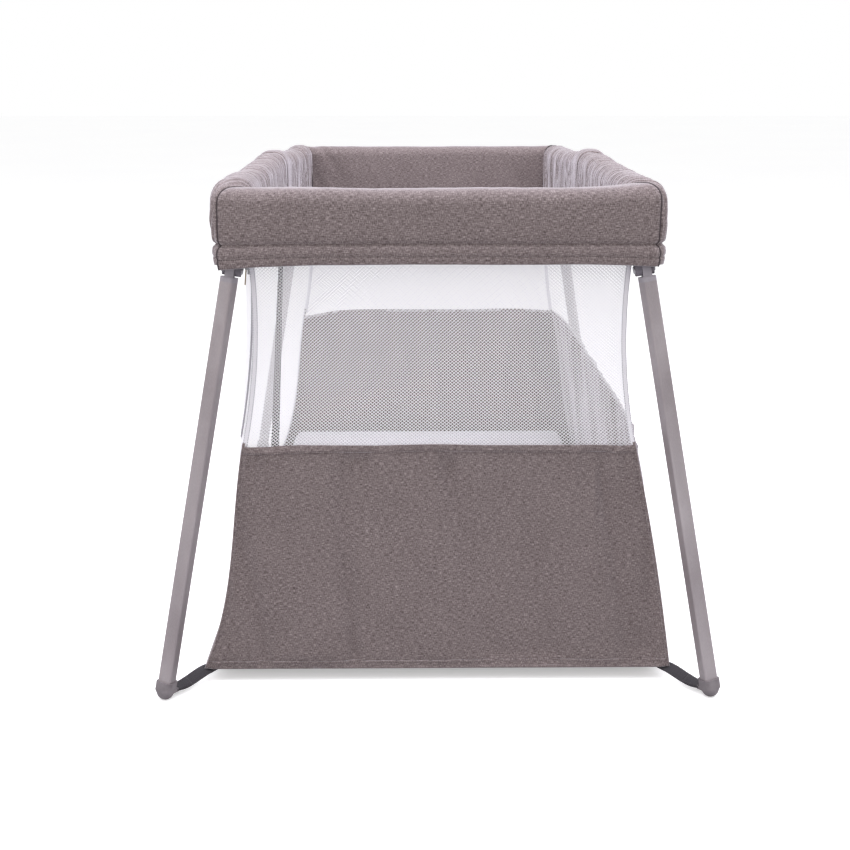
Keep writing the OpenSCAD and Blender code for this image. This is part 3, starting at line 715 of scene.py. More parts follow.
def side_cover(side, end):
    """A gathered side cover, from mid length to its seam with the end cover."""
    straight = np.linspace(0, 1, 330)
    turn = np.linspace(1, 1 + CORNER_SEAM, 9)[1:]
    s = np.concatenate([straight, turn])
    length = RAIL_Y - COVER_START
    u = np.concatenate([straight * length, length + (turn - 1) * 20 * MM])
    seed = 11 + 5 * (side > 0) + 17 * (end > 0)
    to_seam = np.clip((u[-1] - u) / (30 * MM), 0, 1)
    seam_lift = corner_lift(side, end)
    lift = seam_lift + (ride_up(end * u, side) - seam_lift) * to_seam

    def push(u, run, above, inner):
        near_seam = np.clip((u[-1] - u) / (14 * MM), 0.35, 1)
        coarse = 5.5 * MM * folds(u, run, 30 * MM, seed) + 3.0 * MM * folds(u, run, 11 * MM, seed + 3)
        tuck = -0.6 * MM * bump(u, u[-1], 3 * MM)
        sag = 1.2 * MM * noise(u / 0.07, run / 0.06, seed + 7)
        held = 0.35 + 0.65 * np.clip(above / CHANNEL, 0, 1)
        return coarse * near_seam * held + 3.2 * MM * near_seam + tuck + sag

    name = f"{end_name(end)}_{side_name(side)}_gathered_cover"
    points, uv, _ = cover_piece(s, u, push, lambda u: 2 * MM * noise(u / 0.06, 0, seed), lift, side, end)
    piece = grid_piece(name, points, uv, around=True, caps=True)
    finish_on(piece, end, CHAMBRAY, [f"{end_name(end)}_{side_name(side)}_cover"])
    return piece


def corner_lift(side, end):
    """How far the covers stand up at a corner seam."""
    if end == FAR:
        return 0.5 * MM
    return 7 * MM if side == RIGHT else 2.5 * MM


def end_cover(end):
    """The smooth end cover between its two corner seams, with its hem channel."""
    turn = np.linspace(1 + CORNER_SEAM, 2, 7)
    straight = np.linspace(2, 3, 90)[1:]
    s_half = np.concatenate([turn, straight])
    x_half, _ = around_corner(s_half, np.zeros_like(s_half))
    s = np.concatenate([s_half, s_half[-2::-1]])
    sign = np.concatenate([np.ones(len(s_half)), -np.ones(len(s_half) - 1)])
    u = x_half.max() - sign * np.concatenate([x_half, x_half[-2::-1]])
    width = u[-1]
    left_droop = 7 * MM if end == NEAR else 3 * MM
    seed = 31 if end == NEAR else 47

    def push(u, run, above, inner):
        edge = np.minimum(u, width - u)
        soft = 0.9 * MM * noise(u / 0.07, run / 0.05, seed)
        fine = 0.35 * MM * noise(u / 0.02, run / 0.02, seed + 1)
        slant = noise((u + 0.6 * run) / 0.018, (run - 0.3 * u) / 0.08, seed + 2)
        pull = 1.8 * MM * slant * np.where(inner, 1.0, 0.25) * np.clip(1 - edge / 0.16, 0.15, 1)
        tuck = -0.6 * MM * bump(edge, 0, 3 * MM)
        return soft + fine + pull + tuck

    def droop(u):
        left = left_droop * np.clip(1 - (width - u) / 0.13, 0, 1) ** 1.6
        right = 2.5 * MM * np.clip(1 - u / 0.10, 0, 1) ** 1.6
        return left + right + 0.5 * MM * noise(u / 0.05, 0, seed)

    lift = corner_lift(RIGHT, end) * np.exp(-u / 0.04) + corner_lift(LEFT, end) * np.exp(-(width - u) / 0.04)
    lift = lift + 0.8 * MM * noise(u / 0.09, 0, seed + 4)

    name = f"{end_name(end)}_padded_end_cover"
    points, uv, count = cover_piece(s, u, push, droop, lift, 1, end)
    points[..., 0] *= sign[:, None]
    piece = grid_piece(name, points, uv, around=True, caps=True)
    finish_on(piece, end, CHAMBRAY, [f"{end_name(end)}_end_cover"])
    # dark cords on the two corner seams: partly the seam line, partly painted crevice shade
    seam_cord_and_shade(points[0], count, f"{end_name(end)}_right_corner_seam", end)
    seam_cord_and_shade(points[-1], count, f"{end_name(end)}_left_corner_seam", end)
    _, height, _, _ = cover_section()
    row = int(np.argmin(np.abs(height[:count // 2] - (HEM - HEM_DROP + HEM_STITCH))))
    out = constant((0, end, 0), len(points))
    stitch_row(f"{end_name(end)}_hem_stitches", points[:, row] + out * 0.2 * MM, out, end, THREAD, False)
    return piece


def seam_cord_and_shade(points, count, name, end):
    """A dark cord on the seam between a side cover and an end cover, along the first row of the
    end cover's outer face; its dark colour is the seam's line and painted shade for the crevice."""
    path = resample(points[:count], 3 * MM)
    tangent = unit(np.gradient(path, axis=0))
    side = unit(np.cross(tangent, constant((0.31, 0.95, 0.05), len(path))))
    # the cord's dark thread colour also paints the shade in the crevice where the covers meet
    cord = swept(name, path, side, np.cross(side, tangent), round_profile(1.2 * MM, 8))
    finish_on(cord, end, THREAD)


BOOT_HALF = 34 * MM


def hinge_boot(side):
    """The cloth boot over a middle hinge. It is the cover's section, gathered, a
    little fuller than the covers and tucked in at both ends."""
    y = np.linspace(-BOOT_HALF, BOOT_HALF, 41)
    offset, height, normal, run = cover_section()
    count = len(offset)
    tucked = np.clip(1 - (np.abs(y) / BOOT_HALF) ** 6, 0, 1)[:, None]
    above = (height - (HEM - HEM_DROP))[None]
    swell = padding(above, (np.arange(count) > count // 2)[None]) + 3.2 * MM + 1.8 * MM * tucked
    swell = swell + 2.4 * MM * folds(y[:, None] + 0.3, run[None], 13 * MM, 5 + side)
    upper = np.clip((above - CHANNEL) / (COVER_DEPTH - CHANNEL), 0, 1)
    rise = (ride_up(y, side)[:, None] + 1.5 * MM * tucked) * upper * upper * (3 - 2 * upper)
    out = offset[None] + swell * normal[None, :, 0]
    z = height[None] + swell * normal[None, :, 1] + rise
    lining = np.arange(count - 1, -1, -3)
    out = np.concatenate([out, (out - QUILT_T / 2 * normal[None, :, 0])[:, lining]], axis=1)
    z = np.concatenate([z, (z - QUILT_T / 2 * normal[None, :, 1])[:, lining]], axis=1)
    across = np.broadcast_to(y[:, None], out.shape)
    points = np.stack([side * (RAIL_X + out), across, z], axis=-1)
    uv = np.stack(np.broadcast_arrays(y[:, None] + 0.2, np.concatenate([run, run[lining]])[None]), axis=-1)
    piece = grid_piece(f"{side_name(side)}_hinge_boot", points, uv, around=True, caps=True)
    piece.data.materials.append(CHAMBRAY)
    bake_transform(piece)
    return piece


# ------------------------------------------------------------ netting

HOLE_PITCH = 5.2 * MM        # from hole to hole in a row
ROW_PITCH = 2.25 * MM        # from row to row
HOLE_SHARE = 0.70            # of a cell's width is its hole


def net_cells(width, height, coarse):
    """Warp-knit netting, laid flat: four-sided cells in staggered rows, each with a
    four-sided hole, so that the yarn is the band between the two. The points are
    shared from cell to cell, and cells at the edges are cut straight."""
    pitch, row = HOLE_PITCH * coarse, ROW_PITCH * coarse
    j, i = np.meshgrid(np.arange(int(height / row) + 2), np.arange(int(width / pitch) + 2), indexing="ij")
    cx = (i + 0.5 * (j % 2)) * pitch
    cy = j * row
    keep = (cx < width + 0.4 * pitch) & (cy < height + 0.4 * row)
    centre = np.stack([cx[keep], cy[keep]], axis=1)[:, None]
    outline = np.array([[0, -row], [pitch / 2, 0], [0, row], [-pitch / 2, 0]])
    limit = np.array([width, height])
    outer = np.clip(centre + outline[None], 0, limit)
    inner = np.clip(centre + HOLE_SHARE * outline[None], 0, limit)
    keys = np.round(outer.reshape(-1, 2) / (0.01 * MM)).astype(np.int64)
    _, first, joined = np.unique(keys, axis=0, return_index=True, return_inverse=True)
    shared = outer.reshape(-1, 2)[first]
    joined = joined.reshape(-1, 4)
    holes = len(shared) + np.arange(len(centre) * 4).reshape(-1, 4)
    faces = np.stack([joined, np.roll(joined, -1, axis=1), np.roll(holes, -1, axis=1), holes], axis=-1)
    points = np.concatenate([shared, inner.reshape(-1, 2)])
    faces = faces.reshape(-1, 4)
    a, b, c, d = (points[faces[:, k]] for k in range(4))
    area = (a[:, 0] - c[:, 0]) * (b[:, 1] - d[:, 1]) - (b[:, 0] - d[:, 0]) * (a[:, 1] - c[:, 1])
    return points, faces[np.abs(area) > 1e-3 * MM * MM], np.abs(area).sum() / 2


def netting(name, width, height, place, end, replaces, coarse=1.0):
    """A net panel: place turns the flat cut's shares across and up, each from 0 to 1,
    into points on the wall."""
    flat, faces, yarn = net_cells(width, height, coarse)
    points = place(flat[:, 0] / width, flat[:, 1] / height)
    piece = mesh_piece(name, points, faces, uv=flat)
    finish_on(piece, end, NET, replaces)
    slackens(piece)
    return piece


NET_IN = 1.2 * MM            # the netting lies this far inside the wall's outer face
TUCK = 5 * MM                # the netting goes this far behind the cloth band


def band_top(x, end):
    """Height of the cloth band's top edge across an end: nearly level, a little wavy,
    and drawn down at the corners, most at the far left."""
    wave = 1.6 * MM * noise(x / 0.09 + 3.1, 0.5, 61 if end == NEAR else 67)
    left = 14 * MM if end == FAR else 3.5 * MM
    corner = left * bump(x, -WALL_X, 0.05) + 2.5 * MM * bump(x, WALL_X, 0.04)
    return BAND + wave - corner


def end_netting(end):
    """The netting of an end, from the hem down to the cloth band."""
    def place(across, up):
        low = band_top((2 * across - 1) * WALL_X, end) - TUCK
        z = low + (HEM - low) * up
        x = end_x(2 * across - 1, z)
        y = end_out(x, z) - NET_IN
        return np.stack([x, end * y, z], axis=1)
    return netting(f"{end_name(end)}_end_net", 2 * WALL_X, HEM - BAND, place, end,
                   [f"{end_name(end)}_end_netting"])


def side_netting(side, end):
    """Half the netting of a side. On the left it goes down to the floor."""
    low = FLOOR + 2 * MM if side == LEFT else BAND - TUCK

    def place(across, up):
        z = low + (HEM - low) * up
        y = (seam_y(z) - 2 * MM) * across
        x = side_out(y, z, side) - NET_IN
        loose = 2.2 * MM * noise(y / 0.06, z / 0.2, 71 + side + end) * np.sin(math.pi * across)
        return np.stack([side * (x + loose * np.sin(math.pi * up)), end * y, z], axis=1)
    name = f"{end_name(end)}_{side_name(side)}_net"
    return netting(name, WALL_Y, HEM - low, place, end,
                   [f"{end_name(end)}_{side_name(side)}_netting"], coarse=1.1 if side == LEFT else 1.0)


# ------------------------------------------------------------ cloth panels

CLOTH_T = 1.2 * MM
HEM_T = 1.3 * MM
TOP_HEM = 10 * MM
LOW_HEM = 11 * MM


def wrinkles(u, z, seed, edge):
    """How far the cloth stands off the flat wall: a few long upright creases, where
    stretched noise crosses 0, shorter pleats that hang from the top hem, and small
    puckers along both hems. It lies flat at its edges, where edge is 0, and never
    goes inside the netting that is tucked behind its top."""
    crease = np.abs(noise((u + 0.10 * z) / 0.075, z / 0.5, seed))
    long = -6.0 * MM * bump(crease, 0, 0.26) + 3.5 * MM * noise(u / 0.10, z / 0.35, seed + 1)
    pleat = np.abs(noise((u - 0.05 * z) / 0.032, z / 0.4, seed + 5))
    below = BAND - z
    pleats = 5.0 * MM * bump(pleat, 0, 0.3) * np.exp(-below / 0.08)
    slant = 1.6 * MM * noise((u + 0.35 * z) / 0.035, z / 0.14, seed + 2)
    pucker = 1.3 * MM * noise(u / 0.016, z / 0.03, seed + 3)
    pucker = pucker * (np.exp(-below / 0.035) + np.exp(-(z - FLOOR) / 0.04))
    held = np.clip(below / 0.012 + 0.25, 0, 1) * np.clip((z - FLOOR) / 0.02, 0, 1)
    side = np.clip(edge / 0.05, 0, 1)
    inward = 0.2 * MM + 9 * MM * np.clip((below - 9 * MM) / (20 * MM), 0, 1)
    out = (1.4 * long + 3.5 * MM + slant) * held + pleats * np.clip(below / 0.012, 0.3, 1) + pucker
    return np.maximum(out, -inward) * side * (2 - side)


def panel(name, along, heights, wall, normal, end, replaces):
    """A cloth panel from a grid of shares along the wall and heights, with a turned
    hem and its stitching at the top and bottom edges."""
    points, u = wall(along[:, None], heights)
    uv = np.stack([u, heights], axis=-1)
    piece = grid_piece(name, points, uv)
    solid(piece, CLOTH_T)
    finish_on(piece, end, CHAMBRAY, replaces)
    slackens(piece)
    for part, at, tall in (("top", heights[:, -1], -TOP_HEM), ("low", heights[:, 0], LOW_HEM)):
        steps = np.linspace(0, 1, 5)[None]
        z = at[:, None] + tall * steps + (0.4 * MM if part == "top" else -0.4 * MM) * (1 - steps)
        strip, u_strip = wall(along[:, None], z)
        strip = strip + normal * (HEM_T / 2 + CLOTH_T / 2)
        hem = grid_piece(f"{name}_{part}_hem", strip, np.stack([u_strip, z], axis=-1))
        solid(hem, HEM_T)
        finish_on(hem, end, CHAMBRAY)
        slackens(hem)
        row = strip[:, 3] + normal * (HEM_T / 2 + 0.1 * MM)
        stitch_row(f"{name}_{part}_stitches", row, constant(normal, len(row)), end, THREAD, True)
    return piece


def end_cloth(end):
    """The cloth of an end wall, below its netting."""
    share = np.linspace(-1, 1, 141)
    along = np.sign(share) * (1 - (1 - np.abs(share)) ** 1.25)

    def wall(across, z):
        x = end_x(across, z)
        y = end_out(x, z) - CLOTH_T / 2 + wrinkles(x, z, 83 + end, 1 - np.abs(across))
        return np.stack([x, end * y, z], axis=-1), x + 0 * z
    top = band_top(along * WALL_X, end)
    rise = np.linspace(0, 1, 66)
    heights = FLOOR + (top[:, None] - FLOOR) * rise[None]
    return panel(f"{end_name(end)}_end_cloth_panel", along, heights, wall, np.array([0.0, end, 0.0]), end,
                 [f"{end_name(end)}_end_cloth"])


def right_cloth(end):
    """Half the cloth of the right wall, from mid length to the corner."""
    share = np.linspace(0, 1, 100)
    along = 1 - (1 - share) ** 1.25

    def wall(across, z):
        y = (seam_y(z) - 1.5 * MM) * across
        x = side_out(y, z) - CLOTH_T / 2 + wrinkles(y * end, z, 97, 1 - across)
        return np.stack([x, end * y, z], axis=-1), y * end + 0 * z
    heights = np.broadcast_to(np.linspace(FLOOR, BAND, 60)[None], (100, 60))
    return panel(f"{end_name(end)}_right_cloth_panel", along, heights, wall, np.array([1.0, 0.0, 0.0]), end,
                 [f"{end_name(end)}_right_cloth"])


# ------------------------------------------------------------ bindings and tapes

def corner_line(side, end, z, out=0.0):
    """A corner seam's line, moved outwards by out."""
    return np.stack([side * (seam_x(z, side) + out), end * (seam_y(z) + out), z], axis=1)


def corner_binding(side, end):
    """The pale tape folded over a corner seam of the netting, with its two rows of
    stitches. On the left, beside the cloth of the end, it goes on down to the floor
    on the net's side."""
    z = np.linspace(BAND - TUCK, HEM + 3 * MM, 50)
    path = corner_line(side, end, z, 0.2 * MM)
    count = len(z)
    name = f"{end_name(end)}_{side_name(side)}_corner_binding"
    piece = swept(name, path - constant((side * 2.2 * MM, 0, 0), count), constant((1, 0, 0), count),
                  constant((0, end, 0), count), flat_profile(7.5 * MM, 1.6 * MM))
    finish_on(piece, end, BINDING)
    slackens(piece)
    for k, shift in enumerate((-0.7 * MM, 5.1 * MM)):
        row = path + constant((-side * shift, end * 1.0 * MM, 0), count)
        stitch_row(f"{name}_stitches_{k + 1}", row, constant((0, end, 0), count), end, GREY_THREAD, True)
    if side == LEFT:
        z = np.linspace(FLOOR + 2 * MM, BAND, 60)
        down = corner_line(side, end, z, 0.4 * MM) - constant((0, end * 7 * MM, 0), 60)
        face = swept(f"{end_name(end)}_door_side_binding", down, constant((0, 1, 0), 60),
                     constant((-1, 0, 0), 60), flat_profile(7.5 * MM, 1.6 * MM))
        finish_on(face, end, BINDING)
        slackens(face)


def corner_piping(side, end):
    """The cloth piping down a corner of the band."""
    z = np.linspace(FLOOR, BAND + (2 * MM), 60)
    count = len(z)
    lean = constant((side * 0.7071, end * 0.7071, 0), count)
    across = constant((side * 0.7071, -end * 0.7071, 0), count)
    piece = swept(f"{end_name(end)}_{side_name(side)}_piping", corner_line(side, end, z), across, lean,
                  round_profile(2.3 * MM))
    finish_on(piece, end, CHAMBRAY)
    slackens(piece)


def base_piping(end):
    """Piping round the bottom edge of half the sewn body."""
    z = FLOOR + 0.5 * MM
    y = np.linspace(1 * MM, FLOOR_Y, 90)
    x = np.linspace(FLOOR_X, -FLOOR_X, 120)
    right = np.stack([side_out(y, z), y, np.full_like(y, z)], axis=1)
    across = np.stack([x, end_out(x, z), np.full_like(x, z)], axis=1)
    left = right[::-1] * [-1, 1, 1]
    path = resample(np.concatenate([right[:-2], across[1:-1], left[2:]]) * [1, end, 1], 8 * MM)
    tangent = unit(np.gradient(path, axis=0))
    up = constant((0, 0, 1), len(path))
    out = unit(np.cross(tangent, up))
    piece = swept(f"{end_name(end)}_base_piping", path, out, up, round_profile(2.4 * MM))
    finish_on(piece, end, CHAMBRAY)
    slackens(piece)


def base_cloth(end):
    """The coated cloth round half the floor panel: a thin flat slab with rounded
    edges, as rings that shrink to its middle."""
    rings = rounded_slab(FLOOR_X - 3 * MM, FLOOR_LOW[1], FLOOR_Y - 3 * MM, FLOOR - 0.5 * MM, FLOOR_HIGH[2],
                         4 * MM, 8 * MM, lambda x, y: 0 * x)
    piece = ring_piece(f"{end_name(end)}_base_cloth", rings * [1, end, 1])
    finish_on(piece, end, LINING, [f"{end_name(end)}_floor"])
    slackens(piece)
    return piece


def rounded_rectangle(half_x, y0, y1, radius, count=240):
    """Points round a rectangle with rounded corners, from its +X side on."""
    radius = max(radius, 0.5 * MM)
    half_y = (y1 - y0) / 2
    a = np.linspace(0, 90, 9) * math.pi / 180
    corner = radius * np.stack([np.cos(a), np.sin(a)], axis=1)
    quarter = corner + [half_x - radius, half_y - radius]
    loop = np.concatenate([quarter, (quarter * [-1, 1])[::-1], -quarter, (quarter * [1, -1])[::-1]])
    loop = np.concatenate([loop, loop[:1]])
    run = arc_length(np.c_[loop, np.zeros(len(loop))])
    at = np.linspace(0, run[-1], count + 1)[:-1]
    return np.stack([np.interp(at, run, loop[:, 0]), np.interp(at, run, loop[:, 1]) + (y0 + y1) / 2], axis=1)


def rounded_slab(half_x, y0, y1, low, high, edge, corner, crown):
    """Rings of a padded slab, from the middle of its underside, out and up round its
    edge, to the middle of its top. The edge is half a superellipse of radius edge, and
    crown gives the top's extra height at a point."""
    inset = min(half_x, (y1 - y0) / 2) - 2 * MM
    steps = np.linspace(inset, edge, 26)
    turn = np.linspace(-90, 90, 13) * math.pi / 180
    tall = (high - low) / 2
    middle = (high + low) / 2
    rim = [(edge * (1 - math.cos(t) ** 0.8), middle + tall * math.sin(t)) for t in turn]
    plan = [(s, low) for s in steps] + rim + [(s, high) for s in steps[::-1]]
    rings = []
    for k, (shrink, z) in enumerate(plan):
        loop = rounded_rectangle(half_x - shrink, y0 + shrink, y1 - shrink, corner - shrink * 0.6)
        lift = crown(loop[:, 0], loop[:, 1]) if z > middle else 0 * loop[:, 0]
        rings.append(np.c_[loop, z + lift])
    return np.stack(rings)


def ring_piece(name, rings):
    """A closed piece from rings, capped at its first and last."""
    uv = np.stack([rings[..., 0], rings[..., 1] + rings[..., 2]], axis=-1)
    return grid_piece(name, rings, uv, around=True, caps=True)


def ring_cord(name, path, radius):
    """A round cord along a level closed path: the circle is carried round it, and a
    last row of faces joins its two ends."""
    profile = round_profile(radius, 8)
    girth = np.arange(len(profile)) * 2 * math.pi * radius / len(profile)
    tangent = unit(np.roll(path, -1, axis=0) - np.roll(path, 1, axis=0))
    up = constant((0, 0, 1), len(path))
    out = unit(np.cross(tangent, up))
    points = path[:, None] + profile[None, :, :1] * out[:, None] + profile[None, :, 1:] * up[:, None]
    run = arc_length(path)
    uv = np.stack(np.broadcast_arrays(run[:, None], girth[None]), axis=-1)
    rows, cols = points.shape[:2]
    last = (rows - 1) * cols
    j = np.arange(cols)
    k = (j + 1) % cols
    closing = np.stack([last + j, j, k, last + k], axis=1)
    faces = np.concatenate([grid_faces(rows, cols, True), closing])
    return outward(mesh_piece(name, points.reshape(-1, 3), faces, uv.reshape(-1, 2)))


QUILT_STEP = 105 * MM        # from one sewn channel of the mattress to the next
PIPING_IN = 1.5 * MM         # the pipings' line lies this far inside the mattress's faces
PIPING_OFF = 17 * MM         # and this far above and below its middle


def mattress(end):
    """Half the mattress: a crowned foam pad in ticking. Sewn channels across it pull
    its top in, and between them it swells."""
    low = MATTRESS_LOW[2]
    high = MATTRESS_HIGH[2]
    half_x = MATTRESS_HIGH[0]
    y0, y1 = MATTRESS_LOW[1] + 0.3 * MM, MATTRESS_HIGH[1]

    def crown(x, y):
        edge = np.minimum(half_x - np.abs(x), np.minimum(y - y0, y1 - y))
        full = np.clip(edge / (50 * MM), 0, 1)
        full = full * full * (3 - 2 * full)
        channel = 1 - 0.55 * bump((y - y0) % QUILT_STEP, QUILT_STEP / 2, 9 * MM)
        return 5 * MM * full * channel + 0.8 * MM * noise(x / 0.05, y / 0.05, 103) * full
    rings = rounded_slab(half_x, y0, y1, low, high, 11 * MM, 14 * MM, crown)
    piece = ring_piece(f"{end_name(end)}_mattress_pad", rings * [1, end, 1])
    finish_on(piece, end, TICKING, [f"{end_name(end)}_mattress"])
    slackens(piece)
    middle = (low + high) / 2
    loop = rounded_rectangle(half_x - PIPING_IN, y0 + PIPING_IN, y1 - PIPING_IN, 12 * MM)
    for part, z in (("upper", middle + PIPING_OFF), ("lower", middle - PIPING_OFF)):
        path = np.c_[loop, np.full(len(loop), z)] * [1, end, 1]
        piping = ring_cord(f"{end_name(end)}_mattress_{part}_piping", path, 2.2 * MM)
        finish_on(piping, end, TICKING)
        slackens(piping)


# ------------------------------------------------------------ door, zip and straps

DOOR_Y = -0.100              # the door's two edge tapes hang here
DOOR_GAP = 4.5 * MM          # and stand this far to each side
DOOR_OUT = 38 * MM           # they lean out by this much at the floor
DOOR_PART = 5 * MM           # one of them more, the other less


def door_tape(k):
    """A dark edge tape of the door: it hangs straight from the left rail inside the
    netting, its face along the width, and the two part as they go down."""
    z = np.linspace(FLOOR + 6 * MM, HEM + 2 * MM, 60)
    out = WALL_X - 4 * MM + (DOOR_OUT + k * DOOR_PART) * drop(z)
    y = np.full_like(z, DOOR_Y + k * DOOR_GAP)
    x = -out + 1.5 * MM * noise(z / 0.12, 0.4 * k, 5)
    path = np.stack([x, y, z], axis=1)
    count = len(z)
    piece = swept(f"door_edge_tape_{'a' if k < 0 else 'b'}", path, constant((1, 0, 0), count),
                  constant((0, 1, 0), count), flat_profile(8 * MM, 1.4 * MM))
    finish_on(piece, NEAR, DOOR_TAPE)
    slackens(piece)


def zip_pieces():
    """The door zip beside the near left corner: its woven tape and its coil teeth."""
    middle = (TAPE_LOW[1] + TAPE_HIGH[1]) / 2
    z = np.linspace(TAPE_LOW[2], HEM - 1 * MM, 80)
    y = np.full_like(z, -middle)
    out = side_out(y, z, LEFT) + 1.0 * MM
    path = np.stack([-out, -np.abs(y), z], axis=1)
    count = len(z)
    tape = swept("door_zip_tape", path, constant((0, 1, 0), count), constant((-1, 0, 0), count),
                 flat_profile(11 * MM, 1.0 * MM))
    finish_on(tape, NEAR, ZIP_TAPE, ["zip_tape"])
    slackens(tape)
    pitch = 2.2 * MM
    places = resample(path, pitch)
    shift = np.where(np.arange(len(places)) % 2 == 0, 0.9 * MM, -0.9 * MM)
    centre = places + np.stack([np.full(len(places), -0.9 * MM), shift, np.zeros(len(places))], axis=1)
    a = np.arange(6) * math.pi / 3
    ring = np.stack([0.8 * MM * np.cos(a), 1.7 * MM * np.sin(a)], axis=1)
    low = np.c_[ring, np.full(6, -0.75 * MM)]
    high = np.c_[ring, np.full(6, 0.75 * MM)]
    tooth = np.concatenate([low, high])
    points = (centre[:, None] + tooth[None]).reshape(-1, 3)
    j = np.arange(6)
    k = (j + 1) % 6
    sides = [list(f) for f in np.stack([j, k, k + 6, j + 6], axis=1)]
    shape = sides + [[5, 4, 3, 2, 1, 0], [6, 7, 8, 9, 10, 11]]
    faces = [np.array(f) + 12 * n for n in range(len(places)) for f in shape]
    teeth = mesh_piece("door_zip_teeth", points, faces, uv=points[:, 1:], smooth=False)
    finish_on(teeth, NEAR, TEETH)
    slackens(teeth)
    for s in (-1, 1):
        row = path + constant((-0.7 * MM, s * 4.4 * MM, 0), count)
        stitch_row(f"door_zip_stitches_{'a' if s < 0 else 'b'}", row, constant((-1, 0, 0), count), NEAR,
                   GREY_THREAD, True)


SLOT_IN = 13.5 * MM          # from a foot's outer corner to its lug
SLOT_Z = 9.5 * MM            # height of the lug's slot
STRAP_START = 15 * MM        # from the lug to where the strap starts
STRAP_UNDER = 26 * MM        # it goes this far in under the floor
STRAP_TWIST = 38             # degrees it is turned at mid length


def strap_path(side, end):
    """A leg strap's line: from the slot in the foot's lug, a little slack, up to the
    corner of the floor by a cubic ease, and in under it."""
    low, high = (np.array(c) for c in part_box(f"{end_name(end)}_{side_name(side)}_foot"))
    foot = np.array([side * max(abs(low[0]), abs(high[0])), end * max(abs(low[1]), abs(high[1]))])
    foot = foot - SLOT_IN * np.array([side, end])
    corner = np.array([side * FLOOR_X, end * FLOOR_Y])
    way = unit(corner - foot)
    reach = np.linalg.norm(corner - foot)
    run = np.linspace(STRAP_START, reach + STRAP_UNDER, 26)
    share = np.clip((run - STRAP_START) / (reach - STRAP_START), 0, 1)
    lift = share * share * (3 - 2 * share)
    z = SLOT_Z + (FLOOR - 2.2 * MM - SLOT_Z) * lift - 1.6 * MM * np.sin(math.pi * share)
    return np.c_[foot[None] + way[None] * run[:, None], z], way


def leg_strap(side, end):
    """The webbing between a foot and the corner of the floor, with a folded and
    stitched end at the foot."""
    path, way = strap_path(side, end)
    count = len(path)
    tangent = unit(np.gradient(path, axis=0))
    across = constant((-way[1], way[0], 0), count)
    up = unit(np.cross(tangent, across))
    up = up * np.sign(up[:, 2:])
    twist = np.sin(math.pi * np.linspace(0, 1, count))[:, None]
    turn = math.radians(STRAP_TWIST) * twist * np.sign(across[:, 1:2] * end)
    across, up = across * np.cos(turn) - up * np.sin(turn), up * np.cos(turn) + across * np.sin(turn)
    name = f"{end_name(end)}_{side_name(side)}_leg_strap"
    piece = swept(name, path, across, up, flat_profile(18 * MM, 1.8 * MM))
    stands_for = [f"{end_name(end)}_straps"] if side == LEFT else []
    finish_on(piece, end, STRAP, stands_for)
    slackens(piece)
    fold = path[:9] + up[:9] * 1.9 * MM
    end_fold = swept(f"{name}_turned_end", fold, across[:9], up[:9], flat_profile(17 * MM, 1.6 * MM))
    finish_on(end_fold, end, STRAP)
    slackens(end_fold)
    for k, shift in enumerate((-6 * MM, 6 * MM)):
        row = fold + across[:9] * shift + up[:9] * 0.9 * MM
        stitch_row(f"{name}_stitches_{k + 1}", row, up[:9], end, THREAD, True)


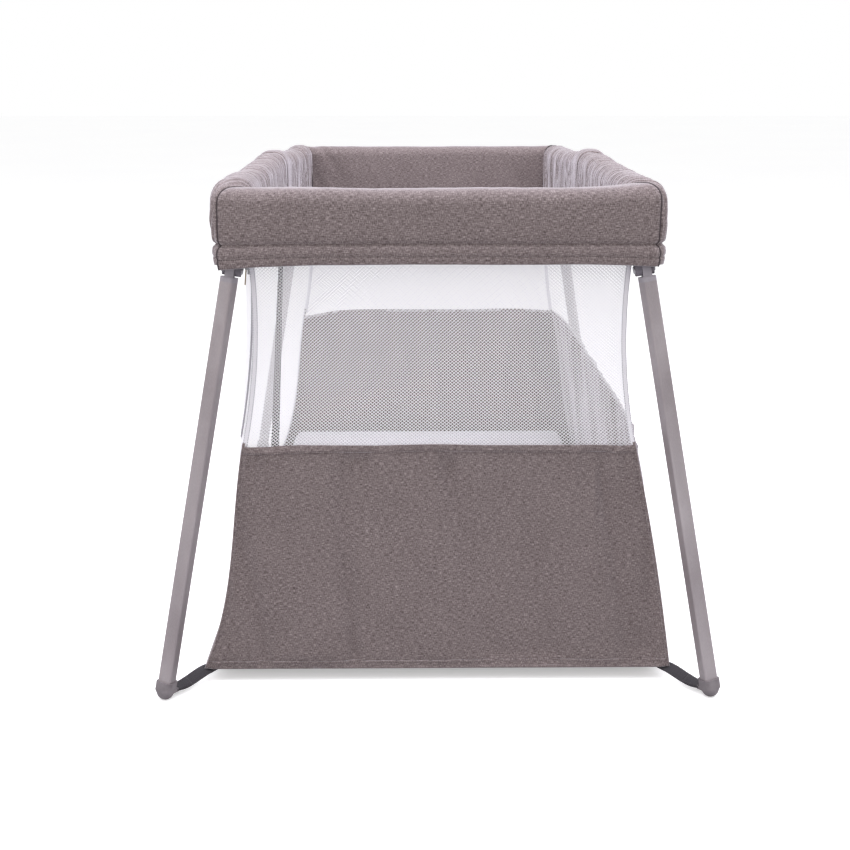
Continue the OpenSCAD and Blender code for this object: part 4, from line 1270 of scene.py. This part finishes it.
def camera_and_lights():
    """The camera stands at the near end, a little above the rail, and looks down into
    the yard. Four soft boxes and a white room light it, on a pale floor."""
    camera = bpy.data.objects.new("camera", bpy.data.cameras.new("camera"))
    bpy.context.scene.collection.objects.link(camera)
    camera.location = (-0.0379, -2.2649, 0.8528)
    camera.rotation_euler = (math.radians(90 - 15.24), 0, math.radians(-0.65))
    camera.data.lens = 53.6
    camera.data.sensor_width = 36
    bpy.context.scene.camera = camera
    # each box's name, place, aim, size in metres, watts and tint
    for name, spot, aim, size, power, tint in (
            ("left_box", (-2.3, -0.9, 2.4), (0, 0, 0.5), 2.8, 44, "#FBF9FF"),
            ("right_box", (2.3, -0.6, 2.4), (0, 0, 0.5), 2.8, 52, "#FBF9FF"),
            ("front_box", (-0.6, -3.6, 1.9), (0, 0, 0.35), 2.6, 24, "#FFF7F4"),
            ("top_box", (0.0, -0.35, 3.1), (0, 0.0, 0.5), 1.9, 66, "#F6F3FF")):
        light = bpy.data.lights.new(name, "AREA")
        light.shape = "DISK"
        light.size = size
        light.energy = power
        light.color = paint(tint)[:3]
        lamp = bpy.data.objects.new(name, light)
        bpy.context.scene.collection.objects.link(lamp)
        lamp.location = spot
        away = np.array(spot) - np.array(aim)
        flat = math.hypot(away[0], away[1])
        lamp.rotation_euler = (math.atan2(flat, away[2]), 0, math.atan2(away[0], -away[1]))
    world = bpy.data.worlds.new("white_room")
    world.use_nodes = True
    tree = world.node_tree
    tree.nodes.clear()
    seen = add(tree, "ShaderNodeLightPath").outputs["Is Camera Ray"]
    strength = add(tree, "ShaderNodeMapRange", {"Value": seen, "To Min": 0.62, "To Max": 1.0})
    light = add(tree, "ShaderNodeBackground", {
        "Color": paint("#FFFFFF"), "Strength": strength.outputs["Result"]})
    add(tree, "ShaderNodeOutputWorld", {"Surface": light.outputs[0]})
    bpy.context.scene.world = world
    bpy.context.scene.view_settings.view_transform = "Standard"


def studio_floor():
    """A pale floor, far wider than the object. The camera sees it white, and it is
    dimmer as a source of light from below."""
    corners = np.array([[-30, -30, 0], [30, -30, 0], [30, 30, 0], [-30, 30, 0]], float)
    floor = mesh_piece("studio_floor", corners, [np.arange(4)])

    def build(tree):
        place = add(tree, "ShaderNodeTexCoord").outputs["Object"]
        haze = add(tree, "ShaderNodeTexNoise", {"Vector": place, "Scale": 0.8, "Detail": 2.0})
        colour = ramp(tree, haze.outputs["Fac"], [(0.3, "#FAFAFB"), (0.7, "#FDFDFD")])
        seen = add(tree, "ShaderNodeLightPath").outputs["Is Camera Ray"]
        dimmed = add(tree, "ShaderNodeMix", {"Factor": seen, "A": paint("#C2C2C4"), "B": colour},
                     data_type="RGBA")
        glow = add(tree, "ShaderNodeMath", {0: seen, 1: 0.38}, operation="MULTIPLY")
        return add(tree, "ShaderNodeBsdfPrincipled", {
            "Base Color": dimmed.outputs["Result"], "Roughness": 0.9, "Specular IOR Level": 0.1,
            "Emission Color": paint("#FFFFFF"), "Emission Strength": glow.outputs[0]})
    floor.data.materials.append(material("pale_studio_floor", build))


# ------------------------------------------------------------ the whole object

camera_and_lights()
studio_floor()
paint_frame()
for end in ENDS.values():
    base_cloth(end)
    end_cover(end)
    end_netting(end)
    end_cloth(end)
    right_cloth(end)
    base_piping(end)
    mattress(end)
    for side in SIDES.values():
        side_cover(side, end)
        side_netting(side, end)
        corner_binding(side, end)
        corner_piping(side, end)
        leg_strap(side, end)
for side in SIDES.values():
    hinge_boot(side)
for k in (-1, 1):
    door_tape(k)
zip_pieces()
